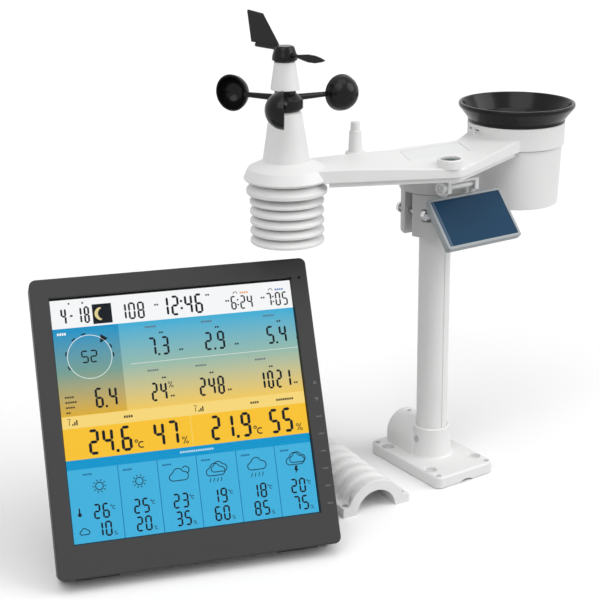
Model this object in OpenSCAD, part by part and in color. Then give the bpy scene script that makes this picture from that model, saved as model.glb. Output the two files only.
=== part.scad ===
// Home weather station: an outdoor sensor head on a pole with a screw-down base,
// a loose strap for pole mounting, and a free-standing indoor display console.
// Millimetres. The origin is on the pole's axis at the underside of the base plate,
// +Z is up and +X runs along the arm from the wind column to the rain gauge.

/* [Base plate] */
// Length of the base plate, across the arm
base_l = 95; // [88:1:120]
// Width of the base plate, along the arm
base_w = 61; // [58:1:80]
// Thickness of the base plate
base_t = 10.8; // [9:0.2:13]
// Corner radius of the base plate
base_r = 6; // [2:0.5:8]
// Distance of the screw-down holes from the plate's long sides
bolt_edge_x = 6.5; // [6:0.1:8]
// Distance of the screw-down holes from the plate's ends
bolt_edge_y = 18.5; // [15:0.5:20]
// Diameter of the screw-down holes
bolt_hole_d = 6; // [4:0.5:7]
// Diameter of the countersunk seats of the screw-down holes
bolt_head_d = 10.4; // [8:0.2:11]
// Depth of the countersunk seats
bolt_head_t = 4.2; // [2:0.2:6]
// Distance of the strap holes from the plate's long sides
strap_edge_x = 4.5; // [4:0.1:6]
// Distance of the strap holes from the plate's ends
strap_edge_y = 5.5; // [4.5:0.1:8]
// Diameter of the strap holes
strap_hole_d = 5; // [3:0.5:6]
// Depth of the shallow groove that seats the base on a round rail
groove_depth = 3; // [1:0.5:4]

/* [Pole and sockets] */
// Outside diameter of the pole
pole_d = 26.2; // [24:0.2:28]
// Wall of the pole
pole_wall = 2.4; // [1.6:0.2:4]
// Width of the keyway along the front of the pole
pole_key_w = 1.6; // [0.8:0.2:3]
// Depth of the keyway
pole_key_t = 0.6; // [0.3:0.1:1]
// Height of the pole's seat above the ground
pole_seat = 6; // [5:0.5:8]
// Height of the upright socket above the plate
socket_h = 26; // [20:1:34]
// Wall of the upright socket at its mouth
socket_wall = 2.4; // [2:0.2:4]
// Extra radius of the upright socket at its foot
socket_flare = 1.9; // [0:0.1:3]
// Reach of the side socket's mouth from the pole's axis
side_y = 40; // [34:1:46]
// Thickness under the bore of the side socket
side_floor = 6.8; // [5.6:0.2:9]
// Wall of the side socket
side_wall = 4.8; // [3:0.2:5.4]
// Height of the cross screw that locks the pole
cross_z = 26.4; // [20:0.2:30]
// Diameter of the cross screw
cross_d = 3; // [2.5:0.5:4]
// Height of the cross screw's head
cross_head_t = 2.2; // [1.6:0.2:3]
// Thickness of the cross screw's nut
cross_nut_t = 3; // [2:0.2:4]
// Diameter of the screw hole in the top of the side socket
side_hole_d = 4.4; // [3:0.2:5]

/* [Loose strap] */
// Inside radius of the strap
strap_in_r = 17.6; // [14:0.2:18.4]
// Thickness of the strap's arch between its ribs
strap_wall = 6.4; // [4:0.2:7]
// Height of the ribs over the arch
strap_rib_h = 2.5; // [1:0.1:3]
// Number of ribs
strap_ribs = 7; // [4:1:9]
// Width of each rib
strap_rib_w = 7; // [4:0.5:8]
// Thickness of the strap's flanges
strap_flange_t = 8; // [5:0.5:10]
// Radius of the hollow curve from the arch to the flanges
strap_fillet = 4; // [2:0.5:4.5]
// Place of the strap along the arm
strap_x = -87.3; // [-95:0.1:-80]
// Place of the strap across the arm
strap_y = 1.7; // [-8:0.1:8]
// Turn of the strap on the ground
strap_yaw = -6; // [-10:0.5:2]

/* [Arm] */
// Height of the arm's underside above the ground
arm_z = 271.4; // [260:0.2:300]
// Thickness of the arm
arm_t = 10; // [9:0.2:14]
// Wall of the arm's shell
arm_wall = 2.2; // [1.6:0.1:2.6]
// Distance from the pole's axis to the wind column's axis
column_x = 144; // [138:1:160]
// Distance from the pole's axis to the rain gauge's axis
rain_x = 85; // [82:1:100]
// Reach of the arm's front corner in front of the pole
front_reach = 74; // [70:1:80]
// Place of the front corner along the arm, towards the wind column
front_shift = 34; // [28:1:40]
// Radius of the front corner
front_r = 9; // [4:0.5:12]
// Drop of the sloping facet at the front corner
facet_drop = 3.4; // [1:0.2:4]
// Place where the sloping facet starts in front of the pole
facet_start = 40; // [36:1:50]
// Thickness of the arm's lower cover
cover_t = 2.4; // [1.6:0.2:3]
// Length of the inset plate on the arm's top
inset_l = 60; // [40:1:64]
// Width of the inset plate
inset_w = 31; // [20:1:32]
// Slant of the inset plate's ends
inset_slant = 14; // [0:1:16]
// Depth of the inset plate's recess
inset_t = 0.9; // [0.6:0.1:1.2]
// Height of the antenna stub
antenna_h = 23.6; // [16:0.2:40]
// Radius of the antenna stub at its foot
antenna_r = 5.5; // [4:0.1:6.5]
// Draw-in of the antenna stub below its tip
antenna_taper = 0.8; // [0:0.1:1.4]
// Height of the antenna stub's narrower tip
antenna_tip_h = 7; // [2:0.2:10]
// Radius of the light sensor's ring
light_r = 9.8; // [8:0.1:11]
// Height of the light sensor's ring
light_h = 6; // [4:0.2:9]
// Rim of the light sensor's ring
light_rim = 1.8; // [1:0.1:3]
// Length of the flat battery in the arm
cell_l = 48; // [36:0.5:50]
// Width of the flat battery
cell_w = 28; // [20:0.5:30]
// Thickness of the flat battery
cell_t = 5; // [3:0.1:5.4]
// Thickness of the battery door, flush with the lower cover
door_t = 1.3; // [1:0.1:1.5]
// Ledge that the battery door closes against
door_lip = 1.6; // [1:0.1:2.2]
// Diameter of the cover screws
screw_d = 2.8; // [2:0.1:3.2]
// Length of the sensor board
board_l = 50; // [36:1:52]
// Width of the sensor board
board_w = 30; // [20:1:32]

/* [Pole clamp] */
// Outside radius of the clamp body under the arm
clamp_r = 29.7; // [28:0.1:33]
// Height of the clamp ring's lower edge
ring_z = 245; // [242:0.5:248]
// Height of the clamp jaws' lower edge
jaw_z = 209; // [200:1:215]
// Step from the clamp's ring to its jaws
jaw_step = 1.3; // [0.5:0.1:2]
// Gap between the two jaws
jaw_gap = 9; // [4:0.5:12]
// Wall of the clamp body
clamp_wall = 2.6; // [2:0.1:3.2]
// Distance of the clamp bolts from the pole's axis
clamp_bolt_x = 22; // [20.5:0.1:22.5]
// Diameter of the clamp bolts
clamp_bolt_d = 5; // [4:0.5:6]

/* [Wind column] */
// Widest radius of the column's collar
collar_r = 32.4; // [30:0.2:36]
// Radius of the collar at its shoulder
collar_shoulder_r = 28.8; // [26:0.2:29.4]
// Height of the collar's shoulder over the arm's underside
collar_shoulder_h = 9.8; // [8:0.2:12]
// Height of the tower's seat over the arm's underside
tower_seat_h = 14.8; // [13:0.2:18]
// Radius of the tower at its foot
tower_r = 17.7; // [16:0.1:20]
// Radius of the tower at its shoulder
tower_top_r = 12.2; // [11:0.1:14]
// Height of the tower
tower_h = 37.4; // [30:0.2:50]
// Wall of the tower and of the upper cone
tower_wall = 1.8; // [1.2:0.1:2.4]
// Radius of the fixed spindle that the cups turn on
spindle_r = 4; // [3:0.1:4.6]
// Widest radius of the rotor's hub
hub_r = 13.2; // [11:0.1:14.5]
// Radius of the rotor's hub at its neck
hub_neck_r = 7.8; // [7:0.1:8.6]
// Height of the rotor's hub
hub_h = 14; // [12:0.2:18]
// Distance from the column's axis to the centre of a cup
cup_circle_r = 47.5; // [42:0.5:52]
// Outside radius of a cup
cup_r = 13.6; // [11:0.1:15]
// Wall of a cup
cup_wall = 1.2; // [0.8:0.1:2]
// Number of cups
cup_count = 3; // [3:1:4]
// Heading of the first cup
cup_heading = -124.3; // [-180:0.1:180]
// Radius of the upper cone at its foot
upper_r = 10.9; // [9:0.1:11.5]
// Radius of the upper cone at its top
upper_top_r = 7.8; // [7.2:0.1:9]
// Height of the upper cone
upper_h = 20.4; // [16:0.2:26]
// Radius of the vane's shaft
vane_shaft_r = 1.5; // [1:0.1:2]
// Radius of the vane's hub at its foot
vane_r = 9.4; // [8:0.1:10]
// Radius of the vane's hub at its top
vane_top_r = 7.4; // [6:0.1:7.8]
// Height of the vane's hub
vane_h = 10.4; // [10:0.2:16]
// Length of the vane's pointer from the column's axis
pointer_l = 44; // [34:1:50]
// Length of the vane's tail from the column's axis
tail_l = 41; // [34:1:50]
// Height of the tail fin over the vane's hub
fin_h = 22.5; // [14:0.1:26]
// Thickness of the tail fin
fin_t = 1.8; // [1:0.1:3]
// Heading of the vane's pointer
vane_heading = -82; // [-180:1:180]

/* [Radiation shield] */
// Radius of the top plate
shield_top_r = 30.6; // [30:0.1:34]
// Radius of the other plates
shield_r = 28.2; // [27.2:0.1:31]
// Number of plates below the top plate
shield_count = 5; // [3:1:6]
// Spacing of the plates
shield_pitch = 7.6; // [7:0.1:9]
// Height of a plate's rim
shield_rim_h = 6.2; // [5:0.1:6.6]
// Gap from the arm's underside to the top plate
shield_gap = 3.4; // [2:0.1:5]
// Radius of the air space inside the plates
shield_bore_r = 17; // [14:0.2:18]
// Radius of the rods that hold the plates
rod_r = 1.6; // [1.2:0.1:2]

/* [Rain gauge] */
// Outside radius of the collar on the arm
rain_collar_r = 40.5; // [40:0.1:44]
// Wall of the rain collar
rain_collar_wall = 2; // [1.4:0.1:2.6]
// Length of the latch block beside the rain collar
latch_l = 6; // [4:0.5:8]
// Height of the rain collar's top over the arm's underside
rain_collar_h = 18.4; // [14:0.2:24]
// Depth of the rain housing below the arm
rain_drop = 49.8; // [46:0.2:60]
// Draw-in of the rain housing at its foot
rain_taper = 1.3; // [0:0.1:2]
// Wall of the rain housing and the funnel
rain_wall = 2; // [1.4:0.1:2.4]
// Radius of the funnel's rim
rim_r = 48.4; // [46:0.2:54]
// Height of the funnel over the collar
rim_h = 15.3; // [12:0.1:22]
// Height of the black band at the foot of the funnel
band_h = 2.4; // [1:0.1:4]
// Depth of the funnel's cone below the collar's top
cone_depth = 27; // [22:0.5:30]
// Radius of the funnel's spout
spout_r = 4.2; // [3.6:0.1:5]
// Depth of the funnel's spigot in the housing
spigot_h = 9; // [7:0.5:11]
// Half length of the tipping bucket
tip_l = 24; // [20:0.5:26]
// Width of the tipping bucket
tip_w = 22; // [16:0.5:24]
// Height of the tipping bucket's divider
tip_h = 17; // [14:0.5:18]
// Tilt of the tipping bucket at each stop
tip_angle = 15; // [10:1:18]
// Radius of the tipping bucket's axle
axle_r = 1.25; // [1:0.05:1.6]

/* [Solar panel] */
// Width of the panel
panel_w = 75; // [64:1:90]
// Height of the panel
panel_h = 44.6; // [38:0.2:52]
// Thickness of the panel's frame
panel_t = 6; // [5:0.2:8]
// Border of the panel's frame
panel_rim = 2.6; // [1.6:0.1:4]
// Tilt of the panel from level
panel_tilt = 49; // [40:1:60]
// Distance of the hinge in front of the pole's axis
hinge_y = 36; // [35.8:0.1:39]
// Height of the hinge
hinge_z = 254; // [252:0.5:256]
// Radius of the knob on the hinge pin
knob_r = 5.6; // [5:0.1:6]
// Thickness of the knob
knob_t = 1.8; // [1.2:0.1:3]
// Length of the neck between the yoke and the knob
knob_neck = 3.4; // [1:0.1:5]
// Sideways place of the yoke on the panel
yoke_x = -4.6; // [-8:0.2:8]
// Width of the panel's yoke
yoke_w = 31.4; // [26:0.2:34]
// Width of each arm of the yoke
yoke_arm = 3.8; // [3.2:0.1:5]
// Thickness of the yoke's bar
yoke_bar_t = 2.2; // [1.6:0.1:3]
// Radius of the barrel between the arms of the yoke
barrel_r = 3; // [2.4:0.1:3.4]
// Radius of the hinge pin
hinge_pin_r = 1.6; // [1.2:0.1:1.8]

/* [Console] */
// Width of the console
con_w = 209.5; // [195:0.5:220]
// Height of the console's face
con_h = 219.5; // [205:0.5:235]
// Depth of the console
con_d = 26.2; // [24:0.2:32]
// Depth of the front bezel
bezel_d = 8.6; // [8:0.1:9.6]
// Wall of the bezel and the rear shell
con_wall = 2.2; // [1.6:0.1:2.8]
// Corner radius of the console
con_r = 5; // [3:0.5:6]
// Border left of the screen
screen_left = 13.9; // [13:0.1:20]
// Border right of the screen
screen_right = 13.5; // [13:0.1:20]
// Border above the screen
screen_top = 15; // [13.5:0.1:24]
// Border below the screen
screen_bottom = 25; // [18:0.1:34]
// Lean of the console
con_tilt = 27.9; // [22:0.1:30]
// Turn of the console on the ground
con_yaw = -19.3; // [-25:0.1:-12]
// Place of the console's front edge along the arm
con_x = -258.3; // [-290:0.1:-250]
// Place of the console's front edge across the arm
con_y = -57.9; // [-90:0.1:-50]
// Height of the top key on the edge
key_top = 122.5; // [118:0.5:130]
// Spacing of the keys
key_pitch = 13.15; // [11.5:0.05:13.5]
// Length of a key
key_l = 8; // [5:0.5:9]
// Height of a key across the edge
key_w = 4; // [3:0.2:6]
// How far a key stands out
key_out = 1.4; // [1.2:0.1:2]
// Height of the stand's hinge on the back
stand_y = 118; // [110:1:125]
// Width of the stand
stand_w = 60; // [40:1:80]
// Thickness of the stand
stand_t = 4; // [3:0.2:4.4]
// Angle of the open stand from the back
stand_open = 48; // [42:1:52]
// Height of the rubber feet
foot_t = 1.5; // [1:0.1:2]
// Radius of the coin cell
coin_r = 10; // [8:0.1:12]
// Thickness of the coin cell
coin_t = 3.2; // [2:0.1:3.6]
// Radius of the power inlet's bore
inlet_r = 2.75; // [2:0.05:3]
// Depth of the power inlet's bore
inlet_l = 9; // [6:0.5:11]

/* [Clearances] */
// Radial slip of the pole in its sockets
pole_slip = 0.1; // [0.05:0.05:0.3]
// Radial running clearance of turning fits
run = 0.05; // [0.02:0.01:0.08]
// Gap between pieces that move past each other
gap = 0.4; // [0.3:0.05:0.6]
// Gap between fixed pieces that nest
nest = 0.2; // [0.1:0.05:0.3]

/* [Hidden] */
$fn = 64;
eps = 0.01;
key_count = 8;

// Pole and sockets
bolt_dx = base_w - 2 * bolt_edge_x;
bolt_dy = base_l - 2 * bolt_edge_y;
strap_dx = base_w - 2 * strap_edge_x;
strap_dy = base_l - 2 * strap_edge_y;
pole_r = pole_d / 2;
pole_bore_r = pole_r + pole_slip;
socket_r = pole_bore_r + socket_wall;
side_r = pole_bore_r + side_wall;
side_z = side_floor + pole_bore_r;
side_depth = side_y - pole_bore_r - 2 * socket_wall;
groove_r = pole_r + 0.3;
swivel_bore_r = pole_r + run;
clamp_cap_t = 3;
pole_top = arm_z - clamp_cap_t - 2 * gap;
far = 2 * (con_w + base_l);
cross_hole_d = cross_d + 0.4;
cross_head_r = 0.85 * cross_d;
cross_nut_r = 0.95 * cross_d;
cross_seat = pole_bore_r + 1.6;

// Arm outline, anticlockwise from the wind column
arm_top = arm_z + arm_t;
front_corner = [-front_shift, -front_reach];
column = [-column_x, 0];
rain = [rain_x, 0];
arm_corners = [column + [-8.6, -18.4], front_corner, rain + [0, -22], rain + [-15, 34],
               [18, -2.5], [-38, 1.5], column + [-6, 19]];
arm_corner_radii = [0, front_r, 0, 0, 16, 60, 0];
facet_slope = facet_drop / (front_reach - facet_start);
antenna_pos = [-column_x / 2, 12];
antenna_boss_r = antenna_r + 2.4;
light_pos = front_corner + [-4, 11];
light_top = arm_top - facet_drop * 0.68 + light_h;
inset_front = -facet_start + 1;
inset_left = -front_shift - 24;
cavity_top = arm_top - arm_wall;
screw_lines = inset_points(arm_corners, 9);
arm_screw_points = [lerp(screw_lines[0], screw_lines[1], 0.36), lerp(screw_lines[0], screw_lines[1], 0.74),
                    lerp(screw_lines[1], screw_lines[2], 0.1), lerp(screw_lines[1], screw_lines[2], 0.62),
                    screw_lines[4] + [-4, -6]];
screw_r = screw_d / 2;
screw_head_r = screw_d;
screw_head_t = screw_d / 2;
screw_boss_r = screw_r + 1.8;
screw_l = arm_t * 0.64;

// Battery bay in the arm
bay_l = cell_l + 2;
bay_w = cell_w + 2;
bay = [-(column_x - collar_r + clamp_r) / 2, -19.5];

// Wind column heights
tower_z = arm_z + tower_seat_h;
tower_top = tower_z + tower_h;
tower_chamfer = 2.1;
rotor_z = tower_top + 0.6;
rotor_top = rotor_z + hub_h;
cup_z = rotor_z + 0.59 * hub_h;
upper_z = rotor_top + 1;
upper_top = upper_z + upper_h;
vane_z = upper_top + 1;
vane_top = vane_z + vane_h;
spindle_flange_r = spindle_r + 3.4;
spindle_flange_t = 2.4;
tower_cap_t = 3;
magnet_in_r = spindle_r + 1.2;
magnet_out_r = hub_neck_r - 0.2;
magnet_t = 2.6;
vane_shaft_l = 19;
vane_shaft_in = 8;
bar_h = 3.4;
tail_z = vane_z + 0.77 * vane_h;
fin_z = tail_z + bar_h / 2 - 0.2;
pointer_z = vane_z + 0.4 * vane_h;

// Radiation shield
shield_top_z = arm_z - shield_gap - shield_rim_h;
plate_t = 1.4;
spacer_r = rod_r + 1;
rod_circle_r = shield_bore_r + spacer_r + 0.6;
shield_floor_t = plate_t;
shield_base_z = shield_top_z - shield_count * shield_pitch;
rod_top = arm_z + 6;

// Rain gauge heights
collar_top = arm_z + rain_collar_h;
rain_bore_r = rain_collar_r - rain_collar_wall;
latch_heading = 184;
housing_r = rain_bore_r - nest;
housing_in_r = housing_r - rain_wall;
housing_foot_in_r = housing_r - rain_taper - rain_wall;
housing_z = arm_z - rain_drop;
housing_top = collar_top - 2.6;
funnel_z = collar_top + gap;
rim_z = funnel_z + rim_h;
spigot_r = housing_in_r - gap;
cone_foot = collar_top - cone_depth + 0.6;
cone_top = collar_top - 0.27 * spigot_h;
cone_slope = (spigot_r - 2 * rain_wall - spout_r + 1.2) / (cone_top - cone_foot);
screen_z = cone_foot + 6.6;
screen_r = spout_r - 1.2 + (screen_z - cone_foot) * cone_slope - 0.05;
rain_floor_t = 2.6;
tip_pivot_z = housing_z + 14.4;
tip_rise = 3.4;
tip_wall = 1.2;
tip_sag = 2;
tip_gap = 1.2;
stop_w = 4;
post_t = tip_w * 0.13;
axle_l = tip_w + 2 * tip_gap + 2 * post_t + 0.8;

// Solar panel
panel_drop = 4.8;
panel_back = 5.5;
cell_glass_t = 1.6;
panel_foot = -panel_back - panel_t;
yoke_foot = -panel_back - panel_t * 0.4;
yoke_r = knob_r - 1.2;
barrel_l = yoke_w - 2 * yoke_arm - 2 * gap;
cell_z = -panel_back - cell_glass_t - 0.4;

// Console
con_lift = con_d * sin(con_tilt);
screen_w = con_w - screen_left - screen_right;
screen_h = con_h - screen_top - screen_bottom;
screen_x = (screen_left - screen_right) / 2;
screen_y = screen_bottom + screen_h / 2;
lip_t = 2.6;
window_t = 1.6;
window_edge = 2.5;
display_t = 3;
board_t = 1.6;
board_z = -bezel_d - 5;
recess_t = stand_t + 2.6;
stand_axis_z = -con_d + stand_t / 2 + 1;
stand_axis_h = con_lift + stand_y * cos(con_tilt) + stand_axis_z * sin(con_tilt);
stand_len = (stand_axis_h - stand_t / 2) / cos(stand_open - con_tilt);
stand_pin_r = 1.3;
con_screw_edge = 7;
coin_x = -con_w / 4;
coin_y = con_h * 0.78;
coin_cover_t = 2;
inlet_x = con_w / 3;
inlet_y = con_h * 0.18;
inlet_body_r = inlet_r + 1.6;
key_z = -(con_d + bezel_d) / 2;
key_flange = 1.2;

function lerp(a, b, t) = a + (b - a) * t;
function unit(v) = v / norm(v);
function left_normal(a, b) = let (d = unit(b - a)) [-d[1], d[0]];

// Points of a polygon moved inwards by a distance
function inset_points(pts, d) = let (n = len(pts)) [for (i = [0:n - 1])
    let (n1 = left_normal(pts[(i + n - 1) % n], pts[i]), n2 = left_normal(pts[i], pts[(i + 1) % n]))
    pts[i] + d * (n1 + n2) / (1 + n1 * n2)];

// Arc that rounds the corner b between a and c
function corner_arc(a, b, c, r, steps = 8) = let (
    u = unit(a - b), v = unit(c - b), half = acos(u * v) / 2, mid = b + unit(u + v) * r / sin(half),
    p = b + u * r / tan(half) - mid, q = b + v * r / tan(half) - mid,
    start = atan2(p[1], p[0]), turn = (atan2(q[1], q[0]) - start + 540) % 360 - 180)
    [for (i = [0:steps]) mid + r * [cos(start + turn * i / steps), sin(start + turn * i / steps)]];

function rounded_points(pts, radii) = let (n = len(pts)) [for (i = [0:n - 1])
    each radii[i] > 0
        ? corner_arc(pts[(i + n - 1) % n], pts[i], pts[(i + 1) % n], radii[i])
        : [pts[i]]];

module round_rect(w, l, r) {
    square([w - 2 * r, l], center = true);
    square([w, l - 2 * r], center = true);
    for (x = [-1, 1], y = [-1, 1])
        translate([x * (w / 2 - r), y * (l / 2 - r)]) circle(r);
}

// Puts an outline drawn as (y, z) upright and gives it a length along X from x0
module along_x(x0, l) translate([x0, 0, 0]) rotate([90, 0, 90]) linear_extrude(l) children();

// Puts an outline drawn as (x, z) upright and gives it a length along Y, centred
module along_y(l) translate([0, l / 2, 0]) rotate([90, 0, 0]) linear_extrude(l) children();

// Cylinder along Y from y0 to y1
module rod_y(r, y0, y1) translate([0, y0, 0]) rotate([-90, 0, 0]) cylinder(r = r, h = y1 - y0);

// Cylinder along X from x0 to x1
module rod_x(r, x0, x1) translate([x0, 0, 0]) rotate([0, 90, 0]) cylinder(r = r, h = x1 - x0);

module at_corners(dx, dy) for (x = [-1, 1], y = [-1, 1])
    translate([x * dx / 2, y * dy / 2, 0]) children();

// Pole mount

module mount_base() color("white") difference() {
    union() {
        linear_extrude(base_t) round_rect(base_w, base_l, base_r);
        translate([0, 0, base_t - eps])
            cylinder(r1 = socket_r + socket_flare, r2 = socket_r, h = socket_h + eps);
        translate([0, 0, side_z]) rod_y(side_r, 0, side_y);
        translate([-side_r, 0, base_t - eps]) cube([2 * side_r, side_y, side_z - base_t + eps]);
    }
    translate([0, 0, pole_seat]) cylinder(r = pole_bore_r, h = base_t + socket_h);
    translate([0, 0, side_z]) rod_y(pole_bore_r, side_y - side_depth, base_l);
    translate([0, 0, groove_depth - groove_r]) rod_y(groove_r, -base_l, base_l);
    at_corners(bolt_dx, bolt_dy) {
        translate([0, 0, -1]) cylinder(d = bolt_hole_d, h = base_t + 2);
        translate([0, 0, base_t - bolt_head_t]) cylinder(d = bolt_head_d, h = bolt_head_t + 1);
    }
    at_corners(strap_dx, strap_dy) translate([0, 0, -1]) cylinder(d = strap_hole_d, h = base_t + 2);
    translate([0, 0, cross_z]) {
        rod_x(cross_hole_d / 2, -base_w, base_w);
        rod_x(cross_head_r + gap, -base_w, -cross_seat);
        rod_x(cross_nut_r + gap, cross_seat, base_w);
    }
    translate([0, side_y - 8, side_z]) cylinder(d = side_hole_d, h = side_r + 1);
}

module mount_pole() color("white") difference() {
    translate([0, 0, pole_seat]) cylinder(r = pole_r, h = pole_top - pole_seat);
    translate([0, 0, pole_seat - 1]) cylinder(r = pole_r - pole_wall, h = pole_top);
    translate([-pole_key_w / 2, -pole_r - 1, base_t + socket_h])
        cube([pole_key_w, 1 + pole_key_t, pole_top]);
    translate([0, 0, cross_z]) rod_x(cross_hole_d / 2, -pole_d, pole_d);
}

module pole_lock_screw() color("silver") translate([0, 0, cross_z]) {
    rod_x(cross_head_r, -cross_seat - cross_head_t, -cross_seat);
    rod_x(cross_d / 2, -cross_seat - eps, cross_seat + cross_nut_t + 1);
    translate([cross_seat, 0, 0]) rotate([0, 90, 0]) cylinder(r = cross_nut_r, h = cross_nut_t, $fn = 6);
}

module strap_profile(r) {
    fillet_z = strap_flange_t + strap_fillet;
    fillet_x = sqrt(pow(r + strap_fillet, 2) - pow(fillet_z, 2));
    difference() {
        circle(r);
        translate([-2 * r, -2 * r]) square([4 * r, 2 * r]);
    }
    translate([-base_w / 2, 0]) square([base_w, strap_flange_t]);
    for (s = [0, 1]) mirror([s, 0]) difference() {
        polygon([[r / 2, strap_flange_t - eps], [fillet_x, strap_flange_t - eps],
                 [fillet_x, fillet_z] * r / (r + strap_fillet)]);
        translate([fillet_x, fillet_z]) circle(strap_fillet);
    }
}

module strap_clamp() color("white") translate([strap_x, strap_y, 0]) rotate([0, 0, strap_yaw]) {
    arch_r = strap_in_r + strap_wall;
    rib_pitch = (base_l - strap_rib_w) / (strap_ribs - 1);
    difference() {
        union() {
            along_y(base_l) strap_profile(arch_r);
            for (i = [0:strap_ribs - 1])
                translate([0, (i - (strap_ribs - 1) / 2) * rib_pitch, 0])
                    along_y(strap_rib_w) strap_profile(arch_r + strap_rib_h);
        }
        rod_y(strap_in_r, -base_l, base_l);
        at_corners(strap_dx, strap_dy) {
            translate([0, 0, -1]) cylinder(d = strap_hole_d, h = arch_r + 2);
            translate([0, 0, strap_flange_t]) cylinder(d = 2 * strap_hole_d, h = arch_r);
        }
    }
}

// Arm and its pieces

function arm_outline(d) = inset_points(rounded_points(arm_corners, arm_corner_radii), d);

// Half space above the arm's sloping front facet, lowered by d
module above_facet(d) translate([0, -facet_start, arm_top - d]) rotate([atan(facet_slope), 0, 0])
    translate([-far / 2, -far / 2, 0]) cube([far, far / 2, far / 10]);

// The arm as a block, its outline drawn in by d and its top lowered by d
module arm_block(d, z0, z1) difference() {
    translate([0, 0, z0]) linear_extrude(z1 - z0) union() {
        polygon(arm_outline(d));
        if (d == 0) translate(antenna_pos) circle(antenna_boss_r);
    }
    above_facet(d);
}

module collar_profile(d) polygon([
    [0, 0], [collar_r - 2.2 - d, 0], [collar_r - d, 1.8],
    [collar_shoulder_r - d, collar_shoulder_h - 0.6 * d],
    [tower_r + 0.2, tower_seat_h - d], [0, tower_seat_h - d]]);

module arm_upper_shell() color("white") difference() {
    union() {
        difference() {
            union() {
                arm_block(0, arm_z, arm_top);
                translate(concat(column, arm_z)) rotate_extrude() collar_profile(0);
                translate(concat(rain, arm_z)) cylinder(r = rain_collar_r, h = rain_collar_h);
                translate(concat(rain, arm_top - eps)) rotate([0, 0, latch_heading])
                    translate([rain_collar_r - 1, -latch_l / 2, 0])
                        cube([latch_l * 0.7 + 1, latch_l, latch_l * 0.55]);
            }
            difference() {
                union() {
                    arm_block(arm_wall, arm_z - 1, cavity_top);
                    translate(concat(column, arm_z - eps)) rotate_extrude() collar_profile(arm_wall);
                }
                translate(concat(rain, arm_z - 2)) cylinder(r = rain_collar_r, h = arm_t + 4);
            }
        }
        difference() {
            for (p = arm_screw_points) translate(concat(p, arm_z + cover_t + nest))
                cylinder(r = screw_boss_r, h = arm_t - cover_t - nest - arm_wall / 2);
            above_facet(arm_wall / 2);
        }
        rod_places() translate([0, 0, arm_z]) cylinder(r = rod_r + 1.8, h = collar_shoulder_h + 1);
    }
    translate(concat(rain, arm_z - 1)) cylinder(r = rain_bore_r, h = rain_collar_h + 2);
    translate(concat(column, arm_z)) cylinder(r = tower_r - 2 * tower_wall - 1, h = tower_seat_h + 1);
    for (p = arm_screw_points) translate(concat(p, arm_z)) cylinder(r = screw_r, h = screw_l + nest);
    inset_outline(0, arm_top - inset_t, 2);
    rod_places() translate([0, 0, arm_z - 1]) cylinder(r = rod_r, h = rod_top - arm_z + 1.4);
}

// Slanted plate outline on the arm's top, drawn in by d
module inset_outline(d, z0, h) translate([0, 0, z0]) linear_extrude(h) polygon(inset_points(
    [[inset_left, inset_front], [inset_left + inset_l, inset_front],
     [inset_left + inset_l + inset_slant, inset_front + inset_w],
     [inset_left + inset_slant, inset_front + inset_w]], d));

module arm_inset_plate() color("whitesmoke") inset_outline(nest, arm_top - inset_t, inset_t - 0.1);

// Block over the battery bay, its sides moved outwards by d
module bay_block(d, z0, h) translate(concat(bay, z0)) linear_extrude(h)
    square([bay_l + 2 * d, bay_w + 2 * d], center = true);

module arm_lower_cover() color("white") difference() {
    arm_block(arm_wall + nest, arm_z, arm_z + cover_t);
    translate(concat(rain, arm_z - 1)) cylinder(r = rain_collar_r + nest, h = arm_t);
    translate(concat(column, arm_z - 1)) cylinder(r = collar_r - 4, h = arm_t);
    bay_block(0, arm_z - 1, arm_t);
    bay_block(door_lip, arm_z - 1, door_t + 1);
    for (p = arm_screw_points) translate(concat(p, arm_z - 1)) {
        cylinder(r = screw_r + nest, h = cover_t + 2);
        cylinder(r = screw_head_r + nest, h = screw_head_t + 1);
    }
}

module arm_screws() color("silver") for (p = arm_screw_points) translate(concat(p, arm_z)) {
    cylinder(r = screw_head_r, h = screw_head_t);
    cylinder(r = screw_r - 0.02, h = screw_l);
}

module battery_door() color("white") difference() {
    bay_block(door_lip - nest, arm_z, door_t);
    translate(concat(bay, arm_z - 1)) for (x = [-1:1])
        translate([bay_l / 2 - 6 + x * 2.4, -5, 0]) cube([1, 10, 1.5]);
}

module sensor_battery() color("dimgray") translate(concat(bay, arm_z + door_t)) linear_extrude(cell_t)
    round_rect(cell_l, cell_w, 2);

// Board on four pillars, with two chips
module sensor_board() color("green") translate([-front_shift - 6, -facet_start - 4, arm_z + cover_t]) {
    pillar_h = arm_t * 0.1;
    chip_t = arm_t * 0.1;
    for (x = [0.12, 0.88], y = [1 / 6, 5 / 6])
        translate([x * board_l, y * board_w, 0]) cylinder(r = board_w * 0.06, h = pillar_h + eps);
    translate([0, 0, pillar_h]) cube([board_l, board_w, board_t]);
    translate([board_l * 0.2, board_w * 0.27, pillar_h + board_t - eps])
        cube([board_l * 0.24, board_w * 0.4, chip_t]);
    translate([board_l * 0.6, board_w * 0.47, pillar_h + board_t - eps])
        cube([board_l * 0.16, board_w * 0.2, chip_t]);
}

module light_sensor_ring() color("white") difference() {
    translate(concat(light_pos, arm_top - facet_drop - 4))
        cylinder(r = light_r, h = light_top - arm_top + facet_drop + 4);
    difference() {
        translate([-far / 2, -far / 2, arm_z]) cube([far, far, arm_t]);
        above_facet(0);
    }
    translate(concat(light_pos, light_top - 2.6)) cylinder(r = light_r - light_rim, h = 4);
}

module light_sensor_window() color("darkslategray")
    translate(concat(light_pos, light_top - 2.6)) cylinder(r = light_r - light_rim - 0.05, h = 2);

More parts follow.
